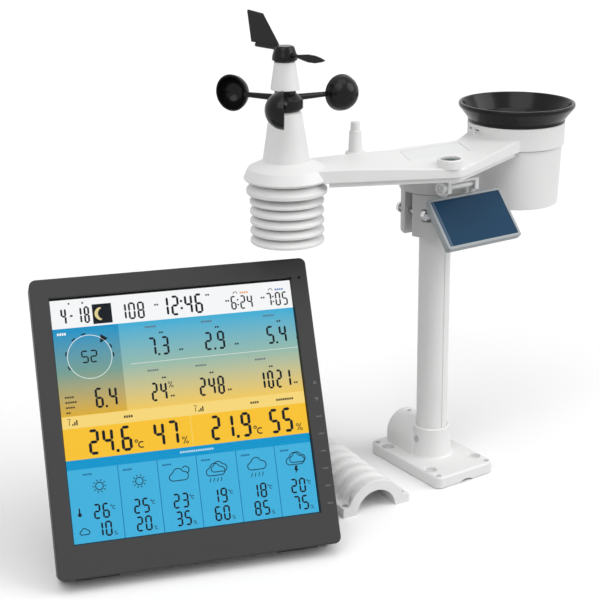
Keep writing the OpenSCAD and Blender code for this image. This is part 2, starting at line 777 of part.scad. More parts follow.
module antenna_stub() color("white") translate(concat(antenna_pos, arm_top)) {
    tip_r = antenna_r - antenna_taper - 0.9;
    cylinder(r1 = antenna_r, r2 = antenna_r - antenna_taper, h = antenna_h - antenna_tip_h);
    translate([0, 0, antenna_h - antenna_tip_h - eps])
        cylinder(r1 = tip_r, r2 = tip_r - 0.3, h = antenna_tip_h + eps);
}

// Pole clamp

// Hollow between the sleeve and the skin of one jaw on the +Y side
module jaw_pocket(r, h) intersection() {
    difference() {
        cylinder(r = r - clamp_wall, h = h);
        translate([0, 0, -1]) cylinder(r = swivel_bore_r + clamp_wall, h = h + 2);
        translate([-clamp_wall / 2, 0, -1]) cube([clamp_wall, r, h + 2]);
        for (x = [-1, 1]) translate([x * clamp_bolt_x, 0, bolt_z - jaw_z + 1])
            rod_y(clamp_bolt_d / 2 + 3, 0, r);
    }
    translate([-r, jaw_gap / 2 + clamp_wall, 0]) cube([2 * r, r, h]);
}

jaw_r = clamp_r - jaw_step;
bolt_z = jaw_z + (ring_z - jaw_z) * 0.52;
bolt_head_seat = sqrt(clamp_r * clamp_r - clamp_bolt_x * clamp_bolt_x) - 4;
bolt_nut_seat = bolt_head_seat - 2.6;

module clamp_bolt_holes() for (x = [-1, 1]) translate([x * clamp_bolt_x, 0, bolt_z]) {
    rod_y(clamp_bolt_d / 2 + nest, -clamp_r, clamp_r);
    rod_y(clamp_bolt_d, bolt_head_seat, clamp_r + 1);
    rod_y(clamp_bolt_d + 0.6, -clamp_r - 1, -bolt_nut_seat);
}

module pole_clamp_rear() color("white") difference() {
    union() {
        translate([0, 0, ring_z]) cylinder(r = clamp_r, h = arm_z - ring_z);
        difference() {
            translate([0, 0, jaw_z]) cylinder(r = jaw_r, h = ring_z - jaw_z + eps);
            translate([-clamp_r - 1, -clamp_r - 1, jaw_z - 1])
                cube([2 * clamp_r + 2, clamp_r + 1 + jaw_gap / 2, ring_z - jaw_z + 1]);
        }
        along_x(yoke_x - barrel_l / 2, barrel_l) {
            translate([-hinge_y, hinge_z]) circle(barrel_r);
            translate([-hinge_y, hinge_z - barrel_r * 0.7]) square([hinge_y - clamp_r * 0.8, barrel_r]);
        }
    }
    translate([0, 0, jaw_z - 1]) cylinder(r = swivel_bore_r, h = arm_z - clamp_cap_t - jaw_z + 1);
    translate([0, 0, jaw_z - 1]) jaw_pocket(jaw_r, ring_z - jaw_z + 18);
    clamp_bolt_holes();
    translate([0, -hinge_y, hinge_z]) rod_x(hinge_pin_r + run, -panel_w, panel_w);
}

module pole_clamp_front() color("white") difference() {
    translate([0, 0, jaw_z]) cylinder(r = jaw_r, h = ring_z - jaw_z - 0.5);
    translate([-clamp_r, -jaw_gap / 2, jaw_z - 1]) cube([2 * clamp_r, 2 * clamp_r, ring_z]);
    translate([0, 0, jaw_z - 1]) cylinder(r = swivel_bore_r, h = ring_z);
    translate([0, 0, jaw_z - 1]) mirror([0, 1, 0]) jaw_pocket(jaw_r, ring_z - jaw_z - 3);
    clamp_bolt_holes();
}

module clamp_bolts() color("silver") for (x = [-1, 1]) translate([x * clamp_bolt_x, 0, bolt_z]) {
    rod_y(clamp_bolt_d * 0.85, bolt_head_seat, bolt_head_seat + 3);
    rod_y(clamp_bolt_d / 2, -bolt_nut_seat - 6, bolt_head_seat + eps);
    translate([0, -bolt_nut_seat, 0]) rotate([90, 0, 0]) cylinder(r = clamp_bolt_d * 0.92, h = 4, $fn = 6);
}

// Wind column

module wind_tower() color("white") translate(concat(column, tower_z)) difference() {
    rotate_extrude() polygon([
        [0, 0], [tower_r, 0], [tower_top_r, tower_h - tower_chamfer],
        [tower_top_r - tower_chamfer, tower_h], [0, tower_h]]);
    translate([0, 0, -1]) rotate_extrude() polygon([
        [0, 0], [tower_r - tower_wall, 0], [tower_r - tower_wall, 1],
        [tower_top_r - tower_wall, tower_h - tower_cap_t + 1], [0, tower_h - tower_cap_t + 1]]);
    cylinder(r = spindle_r + run, h = tower_h + 1);
}

module wind_spindle() color("silver") translate(column) difference() {
    union() {
        translate([0, 0, tower_top - tower_cap_t - spindle_flange_t])
            cylinder(r = spindle_flange_r, h = spindle_flange_t);
        translate([0, 0, tower_top - tower_cap_t - spindle_flange_t])
            cylinder(r = spindle_r, h = upper_z + 2 - tower_top + tower_cap_t + spindle_flange_t);
    }
    cylinder(r = spindle_r - 1.6, h = upper_top);
}

// Round board that hangs from the spindle's flange on three pillars
module wind_board() color("green")
    translate(concat(column, tower_top - tower_cap_t - spindle_flange_t - 5)) difference() {
        union() {
            cylinder(r = tower_top_r - tower_wall - 1.4, h = board_t);
            for (a = [0:120:240]) rotate([0, 0, a])
                translate([spindle_flange_r - 1.6, 0, 0]) cylinder(r = 1, h = 5);
        }
        translate([0, 0, -1]) cylinder(r = spindle_r, h = 4);
    }

module upper_cone() color("white") translate(concat(column, upper_z)) difference() {
    rotate_extrude() polygon([[0, 0], [upper_r, 0], [upper_top_r, upper_h], [0, upper_h]]);
    difference() {
        translate([0, 0, 2]) rotate_extrude() polygon([
            [0, 0], [upper_r - tower_wall, 0], [upper_top_r - tower_wall, upper_h - 4], [0, upper_h - 4]]);
        translate([0, 0, upper_h - 12]) cylinder(r = vane_shaft_r + 1.6, h = 12);
    }
    translate([0, 0, -1]) cylinder(r = spindle_r + run, h = 3);
    translate([0, 0, 2]) cylinder(r = vane_shaft_r + run, h = upper_h);
}

module cup_rotor() color("black") translate(column) difference() {
    union() {
        translate([0, 0, rotor_z]) rotate_extrude() polygon([
            [0, 0], [hub_r - 1.4, 0], [hub_r, 1.6], [hub_r, hub_h * 0.56],
            [hub_neck_r, hub_h * 0.9], [hub_neck_r, hub_h], [0, hub_h]]);
        for (i = [0:cup_count - 1]) rotate([0, 0, cup_heading + i * 360 / cup_count]) {
            translate([0, 0, cup_z]) rotate([0, 90, 0])
                cylinder(r1 = 2.6, r2 = 1.9, h = cup_circle_r - cup_r + cup_wall);
            translate([cup_circle_r, 0, cup_z]) difference() {
                sphere(cup_r);
                sphere(cup_r - cup_wall);
                translate([-2 * cup_r, 0, -2 * cup_r]) cube(4 * cup_r);
            }
        }
    }
    translate([0, 0, rotor_z - 1]) cylinder(r = spindle_r + run, h = hub_h + 2);
    translate([0, 0, rotor_z - 1]) difference() {
        cylinder(r = magnet_out_r, h = magnet_t + 1.2);
        translate([0, 0, -1]) cylinder(r = magnet_in_r, h = magnet_t + 4);
    }
}

module rotor_magnet() color("gray") translate(concat(column, rotor_z + 0.2)) difference() {
    cylinder(r = magnet_out_r - 0.05, h = magnet_t);
    translate([0, 0, -1]) cylinder(r = magnet_in_r + 0.05, h = magnet_t + 2);
}

module wind_vane() color("black") translate(column) rotate([0, 0, vane_heading]) difference() {
    union() {
        translate([0, 0, vane_z]) rotate_extrude() polygon([
            [0, 0], [vane_r, 0], [vane_r - 0.2, 3], [vane_top_r, vane_h - 2],
            [vane_top_r - 1.8, vane_h], [0, vane_h]]);
        translate([-tail_l * 0.78, 0, tail_z]) rotate([0, 90, 0]) cylinder(d = bar_h, h = tail_l * 0.78);
        translate([0, 0, pointer_z]) rotate([0, 90, 0]) cylinder(d = bar_h - 0.8, h = pointer_l * 0.36);
        translate([0, 0, pointer_z]) along_y(bar_h - 1.4) polygon([
            [pointer_l * 0.3, -1], [pointer_l * 0.58, -3.2], [pointer_l * 0.8, -2.4], [pointer_l, 0],
            [pointer_l * 0.78, 2.6], [pointer_l * 0.56, 2.8], [pointer_l * 0.3, 1]]);
        along_y(fin_t) polygon([
            [-vane_top_r + 1, fin_z], [-vane_top_r + 0.4, fin_z + 1.6],
            [-tail_l * 0.59, vane_top + fin_h - 1.4], [-tail_l, vane_top + fin_h], [-tail_l * 0.9, fin_z]]);
    }
    translate([0, 0, vane_z - 1]) cylinder(r = vane_shaft_r, h = vane_shaft_in + 1);
    translate([0, 0, vane_z - 1]) difference() {
        cylinder(r = vane_r - 1.8, h = 2.4);
        translate([0, 0, -1]) cylinder(r = vane_shaft_r + 2, h = 5);
    }
}

module vane_shaft() color("silver") translate(concat(column, vane_z + vane_shaft_in - vane_shaft_l))
    cylinder(r = vane_shaft_r, h = vane_shaft_l);

// Radiation shield

// Louvre ring that slopes down to a rounded rim
module louvre(r) rotate_extrude() polygon([
    [shield_bore_r, shield_rim_h - plate_t], [shield_bore_r, shield_rim_h], [r - 3.4, shield_rim_h],
    [r - 1.2, shield_rim_h * 0.72], [r - 0.2, shield_rim_h * 0.46], [r, shield_rim_h * 0.28],
    [r - 0.5, 0.5], [r - 1.6, 0], [r - 3, 0.7], [r - 4.6, shield_rim_h - plate_t]]);

module rod_places() translate(column) for (a = [0:120:240])
    rotate([0, 0, a]) translate([rod_circle_r, 0, 0]) children();

module shield_top_plate() color("white") difference() {
    translate(concat(column, shield_top_z)) louvre(shield_top_r);
    rod_places() translate([0, 0, shield_base_z]) cylinder(r = rod_r + 0.05, h = arm_z);
}

module shield_plates() color("white") difference() {
    for (i = [1:shield_count - 1])
        translate(concat(column, shield_top_z - i * shield_pitch)) louvre(shield_r);
    rod_places() translate([0, 0, shield_base_z]) cylinder(r = rod_r + 0.05, h = arm_z);
}

module shield_base_plate() color("white") difference() {
    union() {
        translate(concat(column, shield_base_z)) louvre(shield_r);
        translate(concat(column, shield_base_z + shield_rim_h - shield_floor_t))
            cylinder(r = shield_bore_r + 1, h = shield_floor_t);
    }
    rod_places() translate([0, 0, shield_base_z - 1]) cylinder(r = rod_r + 0.05, h = arm_z);
    translate(concat(column, shield_base_z - 1)) for (x = [-2:2])
        translate([x * 5 - 1, -9, 0]) cube([2, 18, shield_rim_h + 2]);
}

// Rods with a spacer between each pair of plates and a nut under the lowest
module shield_rods() color("silver") rod_places() {
    rod_foot = shield_base_z + shield_rim_h - plate_t;
    translate([0, 0, rod_foot - 2.2]) cylinder(r = rod_r, h = rod_top - rod_foot + 2.2);
    translate([0, 0, rod_foot - 1.6]) cylinder(r = spacer_r, h = 1.6, $fn = 6);
    for (i = [1:shield_count]) translate([0, 0, shield_top_z - i * shield_pitch + shield_rim_h])
        cylinder(r = spacer_r, h = shield_pitch - plate_t);
    translate([0, 0, shield_top_z + shield_rim_h]) cylinder(r = spacer_r, h = shield_gap);
}

// Board with a capped sensor, hung from a bar across the top plate
module climate_probe() color("seagreen") translate(column) {
    bar_l = 2 * shield_bore_r + 5;
    bar_w = shield_bore_r * 0.36;
    cap_z = shield_base_z + 1.3 * shield_pitch;
    cap_h = 1.84 * shield_pitch;
    strip_w = shield_bore_r * 0.82;
    strip_z = cap_z + cap_h / 2;
    translate([-bar_w / 2, -bar_l / 2, shield_top_z + shield_rim_h]) cube([bar_w, bar_l, board_t]);
    translate([-board_t / 2, -strip_w / 2, strip_z])
        cube([board_t, strip_w, shield_top_z + shield_rim_h - strip_z + eps]);
    translate([0, 0, cap_z]) cylinder(r = shield_bore_r * 0.3, h = cap_h);
}

// Rain gauge

module rain_housing() color("white") translate(concat(rain, 0)) difference() {
    rotate_extrude() polygon([
        [0, housing_z], [housing_r - rain_taper, housing_z], [housing_r + nest * 2, arm_z - 0.6],
        [housing_r, arm_z - 0.6], [housing_r, housing_top], [0, housing_top]]);
    rotate_extrude() polygon([
        [0, housing_z - 1], [housing_foot_in_r, housing_z - 1],
        [housing_foot_in_r, housing_z + rain_floor_t + 1],
        [housing_in_r, arm_z - 0.6], [housing_in_r, housing_top + 1], [0, housing_top + 1]]);
}

// Funnel outline from the spout up the outside, over the rim and down the inside
module rain_funnel() color("black") translate(concat(rain, 0)) rotate_extrude() polygon([
    [spout_r - 1.2, collar_top - cone_depth - 4], [spout_r, collar_top - cone_depth - 4],
    [spout_r, collar_top - cone_depth],
    [spigot_r - rain_wall, cone_top - 1],
    [spigot_r - rain_wall, collar_top - spigot_h], [spigot_r, collar_top - spigot_h],
    [spigot_r, funnel_z], [rain_collar_r, funnel_z],
    [rain_collar_r, funnel_z + band_h], [rim_r - rain_wall * 0.3, rim_z - rim_h * 0.24],
    [rim_r, rim_z - rim_h * 0.17], [rim_r, rim_z - rain_wall * 0.4], [rim_r - rain_wall * 0.4, rim_z],
    [rim_r - rain_wall * 1.1, rim_z], [rim_r - rain_wall * 1.5, rim_z - rain_wall * 0.45],
    [rim_r - rain_wall * 2.2, rim_z - rim_h * 0.26], [rain_collar_r - rain_wall * 0.8, funnel_z + band_h],
    [spigot_r - 2 * rain_wall, cone_top], [spout_r - 1.2, cone_foot]]);

module rain_screen() color("dimgray") translate(concat(rain, screen_z)) difference() {
    cylinder(r1 = screen_r, r2 = screen_r + 1, h = 2);
    for (x = [-2:2]) {
        slot_l = 2 * sqrt(pow(screen_r - 1.4, 2) - pow(abs(x) * 3.6 + 1.1, 2));
        translate([x * 3.6 - 1.1, -slot_l / 2, -1]) cube([2.2, slot_l, 4]);
    }
}

module rain_base() color("white") translate(concat(rain, housing_z)) difference() {
    union() {
        cylinder(r = housing_foot_in_r - 0.1, h = rain_floor_t);
        for (y = [-1, 1]) translate([-3.2 * axle_r, y * (tip_w / 2 + tip_gap + post_t / 2) - post_t / 2, 0])
            cube([6.4 * axle_r, post_t, tip_pivot_z - housing_z + 3 * axle_r]);
        for (x = [-1, 1]) translate([x * (tip_l - stop_w) - stop_w / 2, -tip_w / 2, 0])
            cube([stop_w, tip_w, tip_pivot_z - housing_z + stop_h(tip_l - stop_w / 2)]);
    }
    translate([0, 0, tip_pivot_z - housing_z]) rod_y(axle_r, -tip_w, tip_w);
    for (x = [-1, 1], i = [-2:2])
        translate([x * tip_l * 0.56 - tip_l * 0.2, (i * 0.22 - 0.055) * tip_w, -1])
            cube([tip_l * 0.4, tip_w * 0.11, rain_floor_t + 2]);
}

// Height over the axle of the tilted bucket's underside at a distance from the axle, less the gap
function stop_h(x) = tip_rise - tip_sag - (x + stop_w / 2) * tan(tip_angle) - tip_gap;

module tipping_bucket() color("black")
    translate(concat(rain, tip_pivot_z)) rotate([0, tip_angle, 0]) difference() {
        union() {
            along_y(tip_w) polygon([
                [-tip_l, tip_rise + tip_sag], [-tip_l * 0.1, tip_rise - tip_sag],
                [tip_l * 0.1, tip_rise - tip_sag],
                [tip_l, tip_rise + tip_sag], [tip_l, tip_rise + 5], [2, tip_rise + tip_h],
                [-2, tip_rise + tip_h], [-tip_l, tip_rise + 5]]);
            rod_y(axle_r + 2, -tip_w / 2, tip_w / 2);
            translate([-axle_r - 2, -tip_w / 2, 0]) cube([2 * axle_r + 4, tip_w, tip_rise]);
        }
        for (s = [-1, 1]) along_y(tip_w - 2 * tip_wall) polygon([
            [s * (tip_l + 1), tip_rise + tip_sag + 0.2 + tip_wall],
            [s * tip_l * 0.1, tip_rise - tip_sag + tip_wall],
            [s * 0.8, tip_rise - tip_sag + tip_wall], [s * 0.8, tip_rise + tip_h + 1],
            [s * (tip_l + 1), tip_rise + tip_h + 1]]);
        rod_y(axle_r + run, -tip_w, tip_w);
    }

module tipping_axle() color("silver") translate(concat(rain, tip_pivot_z))
    rod_y(axle_r, -axle_l / 2, axle_l / 2);

// Solar panel, drawn level with its hinge on the X axis and its face up

module panel_place() translate([0, -hinge_y, hinge_z]) rotate([panel_tilt, 0, 0]) children();

module solar_frame() color("silver") panel_place() difference() {
    along_x(-panel_w / 2, panel_w) polygon([
        [-panel_drop - panel_h, panel_foot], [-panel_drop - panel_h, -panel_back],
        [-panel_drop, -panel_back], [-panel_drop, yoke_foot], [-panel_drop - panel_t * 1.2, panel_foot]]);
    translate([-panel_w / 2 + panel_rim, -panel_drop - panel_h + panel_rim, cell_z])
        cube([panel_w - 2 * panel_rim, panel_h - 2 * panel_rim, panel_t]);
}

// Two arms on the frame's upper edge, joined by a bar over the hinge
module solar_yoke() color("white") panel_place() difference() {
    union() {
        for (x = [-1, 1]) along_x(yoke_x + x * (yoke_w - yoke_arm) / 2 - yoke_arm / 2, yoke_arm) {
            circle(yoke_r);
            polygon([[-panel_drop, yoke_foot], [-panel_drop, -panel_back],
                     [-yoke_r * 0.7, yoke_r * 0.7], [yoke_r * 0.75, -yoke_r * 0.65],
                     [-panel_drop + 2, yoke_foot]]);
            rotate(-panel_tilt) translate([-yoke_r * 0.55, 0])
                square([yoke_r * 1.1, barrel_r + gap + yoke_bar_t]);
        }
        along_x(yoke_x - yoke_w / 2, yoke_w) rotate(-panel_tilt) translate([-yoke_r * 0.55, barrel_r + gap])
            square([yoke_r * 1.1, yoke_bar_t]);
    }
    translate([yoke_x, 0, 0]) rod_x(hinge_pin_r + 0.02, -yoke_w, yoke_w / 2 - yoke_arm / 3);
}

module solar_cell() color("midnightblue") panel_place()
    translate([-panel_w / 2 + panel_rim + 0.1, -panel_drop - panel_h + panel_rim + 0.1, cell_z])
        cube([panel_w - 2 * panel_rim - 0.2, panel_h - 2 * panel_rim - 0.2, cell_glass_t]);

// Pin through both arms of the yoke and the clamp's barrel, with a knob at its left end
module solar_hinge_pin() color("white") panel_place() translate([yoke_x, 0, 0]) {
    rod_x(hinge_pin_r, -yoke_w / 2 - eps, yoke_w / 2 - yoke_arm / 3);
    rod_x(knob_r * 0.62, -yoke_w / 2 - knob_neck - eps, -yoke_w / 2);
    rod_x(knob_r, -yoke_w / 2 - knob_neck - knob_t, -yoke_w / 2 - knob_neck);
}

// Console, drawn flat: X to the right, Y up the face, Z out of the face

module console_place() translate([con_x, con_y, con_lift])
    rotate([0, 0, con_yaw]) rotate([90 - con_tilt, 0, 0]) children();

module face_rect(w, h, r, z0, z1) translate([0, con_h / 2, z0])
    linear_extrude(z1 - z0) round_rect(w, h, r);

module screen_block(edge, z0, z1) translate([screen_x - screen_w / 2 - edge, screen_bottom - edge, z0])
    cube([screen_w + 2 * edge, screen_h + 2 * edge, z1 - z0]);

module console_screw_places() for (x = [-1, 1], y = [con_screw_edge, con_h - con_screw_edge])
    translate([x * (con_w / 2 - con_screw_edge), y, 0]) children();

module console_bezel() color("dimgray") console_place() difference() {
    union() {
        difference() {
            face_rect(con_w, con_h, con_r, -bezel_d, 0);
            face_rect(con_w - 2 * con_wall, con_h - 2 * con_wall, con_r - con_wall, -bezel_d - 1, -lip_t);
        }
        console_screw_places() translate([0, 0, -bezel_d]) cylinder(r = 3, h = bezel_d - lip_t + eps);
    }
    screen_block(0, -bezel_d, 1);
    console_screw_places() translate([0, 0, -bezel_d - 1]) cylinder(r = screw_r, h = 5);
}

module console_window() color("lightblue") console_place()
    screen_block(window_edge, -lip_t - window_t, -lip_t);

module console_display() color("deepskyblue") console_place()
    screen_block(window_edge - 0.5, -lip_t - window_t - display_t, -lip_t - window_t);

module console_board() color("green") console_place() {
    translate([-con_w / 2 + 14, con_h * 0.14, board_z]) cube([con_w - 28, con_h * 0.7, board_t]);
    for (i = [0:3]) translate([con_w * (0.17 * i - 0.33), con_h * 0.5, board_z - 2])
        cube([con_w * 0.076, con_w * 0.076, 2 + eps]);
}

module stand_recess(extra, z0, depth)
    translate([-stand_w / 2 - gap - extra, stand_y - stand_len - 3 - extra, z0])
        cube([stand_w + 2 * gap + 2 * extra, stand_len + 8 + 2 * extra, depth]);

module console_key_places() for (i = [0:key_count - 1])
    translate([con_w / 2, key_top - i * key_pitch, key_z]) children();

module console_rear_shell() color("dimgray") difference() {
    console_place() difference() {
        union() {
            difference() {
                face_rect(con_w, con_h, con_r, -con_d, -bezel_d - 0.2);
                face_rect(con_w - 2 * con_wall, con_h - 2 * con_wall, con_r - con_wall,
                          -con_d + con_wall, 0);
            }
            intersection() {
                stand_recess(con_wall, -con_d, recess_t + con_wall);
                face_rect(con_w, con_h, con_r, -con_d, 0);
            }
            translate([coin_x, coin_y, -con_d]) cylinder(r = coin_r + 3.6, h = coin_cover_t + coin_t + 2);
            console_screw_places() translate([0, 0, -con_d]) cylinder(r = 4, h = con_d - bezel_d - 0.2);
            for (x = [-1, 1], y = [0.28, 0.72]) translate([x * con_w * 0.38, y * con_h, -con_d])
                cylinder(r = 3, h = con_d + board_z);
        }
        stand_recess(0, -con_d - 1, recess_t + 1);
        translate([0, stand_y, stand_axis_z])
            rod_x(stand_pin_r, -stand_w / 2 - gap - 3, stand_w / 2 + gap + 3);
        translate([coin_x, coin_y, -con_d - 1]) {
            cylinder(r = coin_r + 2.4, h = coin_cover_t + 1);
            cylinder(r = coin_r + nest, h = coin_cover_t + coin_t + 1.4);
        }
        translate([inlet_x, inlet_y, -con_d - 1]) cylinder(r = inlet_body_r + nest, h = con_wall + 2);
        console_screw_places() {
            translate([0, 0, -con_d - 1]) cylinder(r = screw_head_r + nest, h = screw_head_t + 2);
            translate([0, 0, -con_d - 1]) cylinder(r = screw_r + nest, h = con_d);
        }
        console_key_places() translate([-con_wall - 1, -key_l / 2 - gap, -key_w / 2 - gap])
            cube([con_wall + 2, key_l + 2 * gap, key_w + 2 * gap]);
    }
    translate([con_x - 2 * con_w, con_y - 2 * con_w, foot_t - 50]) cube([4 * con_w, 4 * con_w, 50]);
}

module console_feet() color("black") translate([con_x, con_y, 0]) rotate([0, 0, con_yaw]) for (x = [-1, 1])
    translate([x * con_w * 0.36 - 16, con_d * cos(con_tilt) - 2.6, 0]) cube([32, 3, foot_t]);

module console_key(i) color("black") console_place()
    translate([con_w / 2, key_top - (i - 1) * key_pitch, key_z]) {
        translate([-con_wall - 1.6, -key_l / 2, -key_w / 2]) cube([con_wall + 1.6 + key_out, key_l, key_w]);
        translate([-con_wall - 1.6, -key_l / 2 - key_flange, -key_w / 2 - key_flange])
            cube([1.4, key_l + 2 * key_flange, key_w + 2 * key_flange]);
    }

module console_stand() color("dimgray") console_place()
    translate([0, stand_y, stand_axis_z]) rotate([stand_open, 0, 0]) difference() {
        union() {
            translate([-stand_w / 2, -stand_len, -stand_t / 2]) cube([stand_w, stand_len, stand_t]);
            rod_x(stand_t / 2, -stand_w / 2, stand_w / 2);
            translate([0, -stand_len, 0]) rod_x(stand_t / 2, -stand_w / 2, stand_w / 2);
        }
        rod_x(stand_pin_r + run, -stand_w, stand_w);
        translate([-stand_w * 0.3, -stand_len * 0.72, stand_t / 2 - 1])
            cube([stand_w * 0.6, stand_len * 0.4, 2]);
    }

module console_stand_pin() color("silver") console_place() translate([0, stand_y, stand_axis_z])
    rod_x(stand_pin_r, -stand_w / 2 - gap - 2.6, stand_w / 2 + gap + 2.6);

module console_battery_cover() color("dimgray") console_place()
    translate([coin_x, coin_y, -con_d]) difference() {
        cylinder(r = coin_r + 2.4 - nest, h = coin_cover_t);
        translate([-coin_r / 2, -1, -1]) cube([coin_r, 2, 1.8]);
    }

module console_coin_cell() color("silver") console_place()
    translate([coin_x, coin_y, -con_d + coin_cover_t + 0.1]) cylinder(r = coin_r, h = coin_t);

module console_dc_inlet() color("black") console_place()
    translate([inlet_x, inlet_y, -con_d]) difference() {
        union() {
            cylinder(r = inlet_body_r, h = inlet_l + 1.4);
            translate([-inlet_body_r - 1, -inlet_body_r - 1, con_wall])
                cube([2 * inlet_body_r + 2, 2 * inlet_body_r + 2, inlet_l + 1.4 - con_wall]);
        }
        translate([0, 0, -1]) cylinder(r = inlet_r, h = inlet_l + 1);
    }

module console_screws() color("silver") console_place() console_screw_places()
    translate([0, 0, -con_d + 2 - screw_head_t]) {
        cylinder(r = screw_head_r, h = screw_head_t);
        cylinder(r = screw_r - 0.02, h = con_d - bezel_d + 1.6);
    }

mount_base();
mount_pole();
pole_lock_screw();
strap_clamp();
arm_upper_shell();
arm_lower_cover();
arm_screws();
arm_inset_plate();
light_sensor_ring();
light_sensor_window();
antenna_stub();
sensor_board();
sensor_battery();
battery_door();
pole_clamp_rear();
pole_clamp_front();
clamp_bolts();
wind_tower();
wind_spindle();
upper_cone();
cup_rotor();
rotor_magnet();
wind_vane();
vane_shaft();
wind_board();
shield_top_plate();
shield_plates();
shield_base_plate();
shield_rods();
climate_probe();
rain_housing();
rain_funnel();
rain_screen();
rain_base();
tipping_bucket();
tipping_axle();
solar_frame();
solar_cell();
solar_yoke();
solar_hinge_pin();
console_bezel();
console_rear_shell();
console_window();
console_display();
console_board();
console_stand();
console_stand_pin();
console_battery_cover();
console_coin_cell();
console_dc_inlet();
console_feet();
console_screws();
for (i = [1:key_count])
    console_key(i);
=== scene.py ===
import math

import bmesh
import bpy
from mathutils import Matrix, Vector


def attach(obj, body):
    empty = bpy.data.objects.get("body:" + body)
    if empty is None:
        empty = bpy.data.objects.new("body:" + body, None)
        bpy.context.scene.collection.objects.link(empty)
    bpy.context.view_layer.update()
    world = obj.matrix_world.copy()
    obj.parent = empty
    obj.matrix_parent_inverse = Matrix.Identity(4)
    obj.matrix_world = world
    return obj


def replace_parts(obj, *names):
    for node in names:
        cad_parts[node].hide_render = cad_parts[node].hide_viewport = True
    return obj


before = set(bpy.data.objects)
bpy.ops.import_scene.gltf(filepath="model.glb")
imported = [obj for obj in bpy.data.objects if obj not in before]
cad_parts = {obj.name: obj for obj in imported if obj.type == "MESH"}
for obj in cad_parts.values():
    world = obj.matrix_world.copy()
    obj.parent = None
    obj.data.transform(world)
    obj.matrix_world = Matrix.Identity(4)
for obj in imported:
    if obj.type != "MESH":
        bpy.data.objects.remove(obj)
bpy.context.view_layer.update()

# Base plate
# The moulded foot that is screwed to a flat surface: a thick plate with rounded edges, four countersunk
# screw seats, four strap holes and a groove underneath for a rail. Sizes of all pieces are millimetres.


def rounded(corners, steps=6):
    """Outline through corners (x, y) or (x, y, radius); a corner with a radius becomes an arc."""
    out = []
    for i, c in enumerate(corners):
        if len(c) < 3:
            out.append(tuple(c))
            continue
        b, r = Vector(c[:2]), c[2]
        u = (Vector(corners[i - 1][:2]) - b).normalized()
        v = (Vector(corners[(i + 1) % len(corners)][:2]) - b).normalized()
        half = u.angle(v) / 2
        middle = b + (u + v).normalized() * (r / math.sin(half))
        p = b + u * (r / math.tan(half)) - middle
        q = b + v * (r / math.tan(half)) - middle
        start = math.atan2(p.y, p.x)
        turn = (math.atan2(q.y, q.x) - start + math.pi) % (2 * math.pi) - math.pi
        for k in range(steps + 1):
            a = start + turn * k / steps
            out.append((middle.x + r * math.cos(a), middle.y + r * math.sin(a)))
    return out


def box_outline(x0, y0, x1, y1, r=0.0):
    """Rectangle with sharp or rounded corners."""
    corners = [(x0, y0), (x1, y0), (x1, y1), (x0, y1)]
    return rounded([c + (r,) for c in corners]) if r else corners


def prism(outline, z0, z1, bevel=0.0, segments=3, limit=30):
    """Solid between two heights over an outline, its edges sharper than the limit rounded by the bevel."""
    bm = bmesh.new()
    face = bm.faces.new([bm.verts.new((x, y, z0)) for x, y in outline])
    top = bmesh.ops.extrude_face_region(bm, geom=[face])["geom"]
    raised = [v for v in top if isinstance(v, bmesh.types.BMVert)]
    bmesh.ops.translate(bm, verts=raised, vec=(0, 0, z1 - z0))
    bmesh.ops.recalc_face_normals(bm, faces=bm.faces)
    if bevel:
        edges = [e for e in bm.edges if e.calc_face_angle(0) > math.radians(limit)]
        bmesh.ops.bevel(bm, geom=edges, offset=bevel, segments=segments, profile=0.5, affect="EDGES",
                        material=-1)
    return bm


def lathe(profile, steps=96):
    """Closed outline of (radius, height) turned once about the Z axis."""
    bm = bmesh.new()
    verts = [bm.verts.new((r, 0, z)) for r, z in profile]
    edges = [bm.edges.new((v, verts[i - 1])) for i, v in enumerate(verts)]
    bmesh.ops.spin(bm, geom=verts + edges, cent=(0, 0, 0), axis=(0, 0, 1), angle=2 * math.pi, steps=steps,
                   use_merge=True, use_duplicate=False)
    bmesh.ops.remove_doubles(bm, verts=bm.verts, dist=0.001)
    bmesh.ops.recalc_face_normals(bm, faces=bm.faces)
    return bm


def rod(r, z0, z1, steps=32):
    """Plain cylinder along Z."""
    return lathe([(0, z0), (r, z0), (r, z1), (0, z1)], steps)


def move(bm, x=0.0, y=0.0, z=0.0, turn=0.0, lean=0.0, roll=0.0):
    """Turns a solid about X (lean), Y (roll) and Z (turn), in degrees, then shifts it."""
    bm.transform(Matrix.Translation((x, y, z)) @ Matrix.Rotation(math.radians(turn), 4, "Z")
                 @ Matrix.Rotation(math.radians(roll), 4, "Y") @ Matrix.Rotation(math.radians(lean), 4, "X"))
    return bm


def together(*solids):
    """One bmesh that holds several solids."""
    whole = bmesh.new()
    for bm in solids:
        part = bpy.data.meshes.new("part")
        bm.to_mesh(part)
        bm.free()
        whole.from_mesh(part)
        bpy.data.meshes.remove(part)
    return whole


def cut(solid, *tools):
    """The solid with the tools taken out of it."""
    objects = []
    for bm in (solid, together(*tools)):
        mesh = bpy.data.meshes.new("cut")
        bm.to_mesh(mesh)
        bm.free()
        objects.append(bpy.data.objects.new("cut", mesh))
        bpy.context.scene.collection.objects.link(objects[-1])
    boolean = objects[0].modifiers.new("cut", "BOOLEAN")
    boolean.object, boolean.operation, boolean.solver = objects[1], "DIFFERENCE", "EXACT"
    boolean.use_self = True
    shaped = objects[0].evaluated_get(bpy.context.evaluated_depsgraph_get())
    bm = bmesh.new()
    bm.from_mesh(shaped.to_mesh())
    shaped.to_mesh_clear()
    for o in objects:
        mesh = o.data
        bpy.data.objects.remove(o)
        bpy.data.meshes.remove(mesh)
    return bm


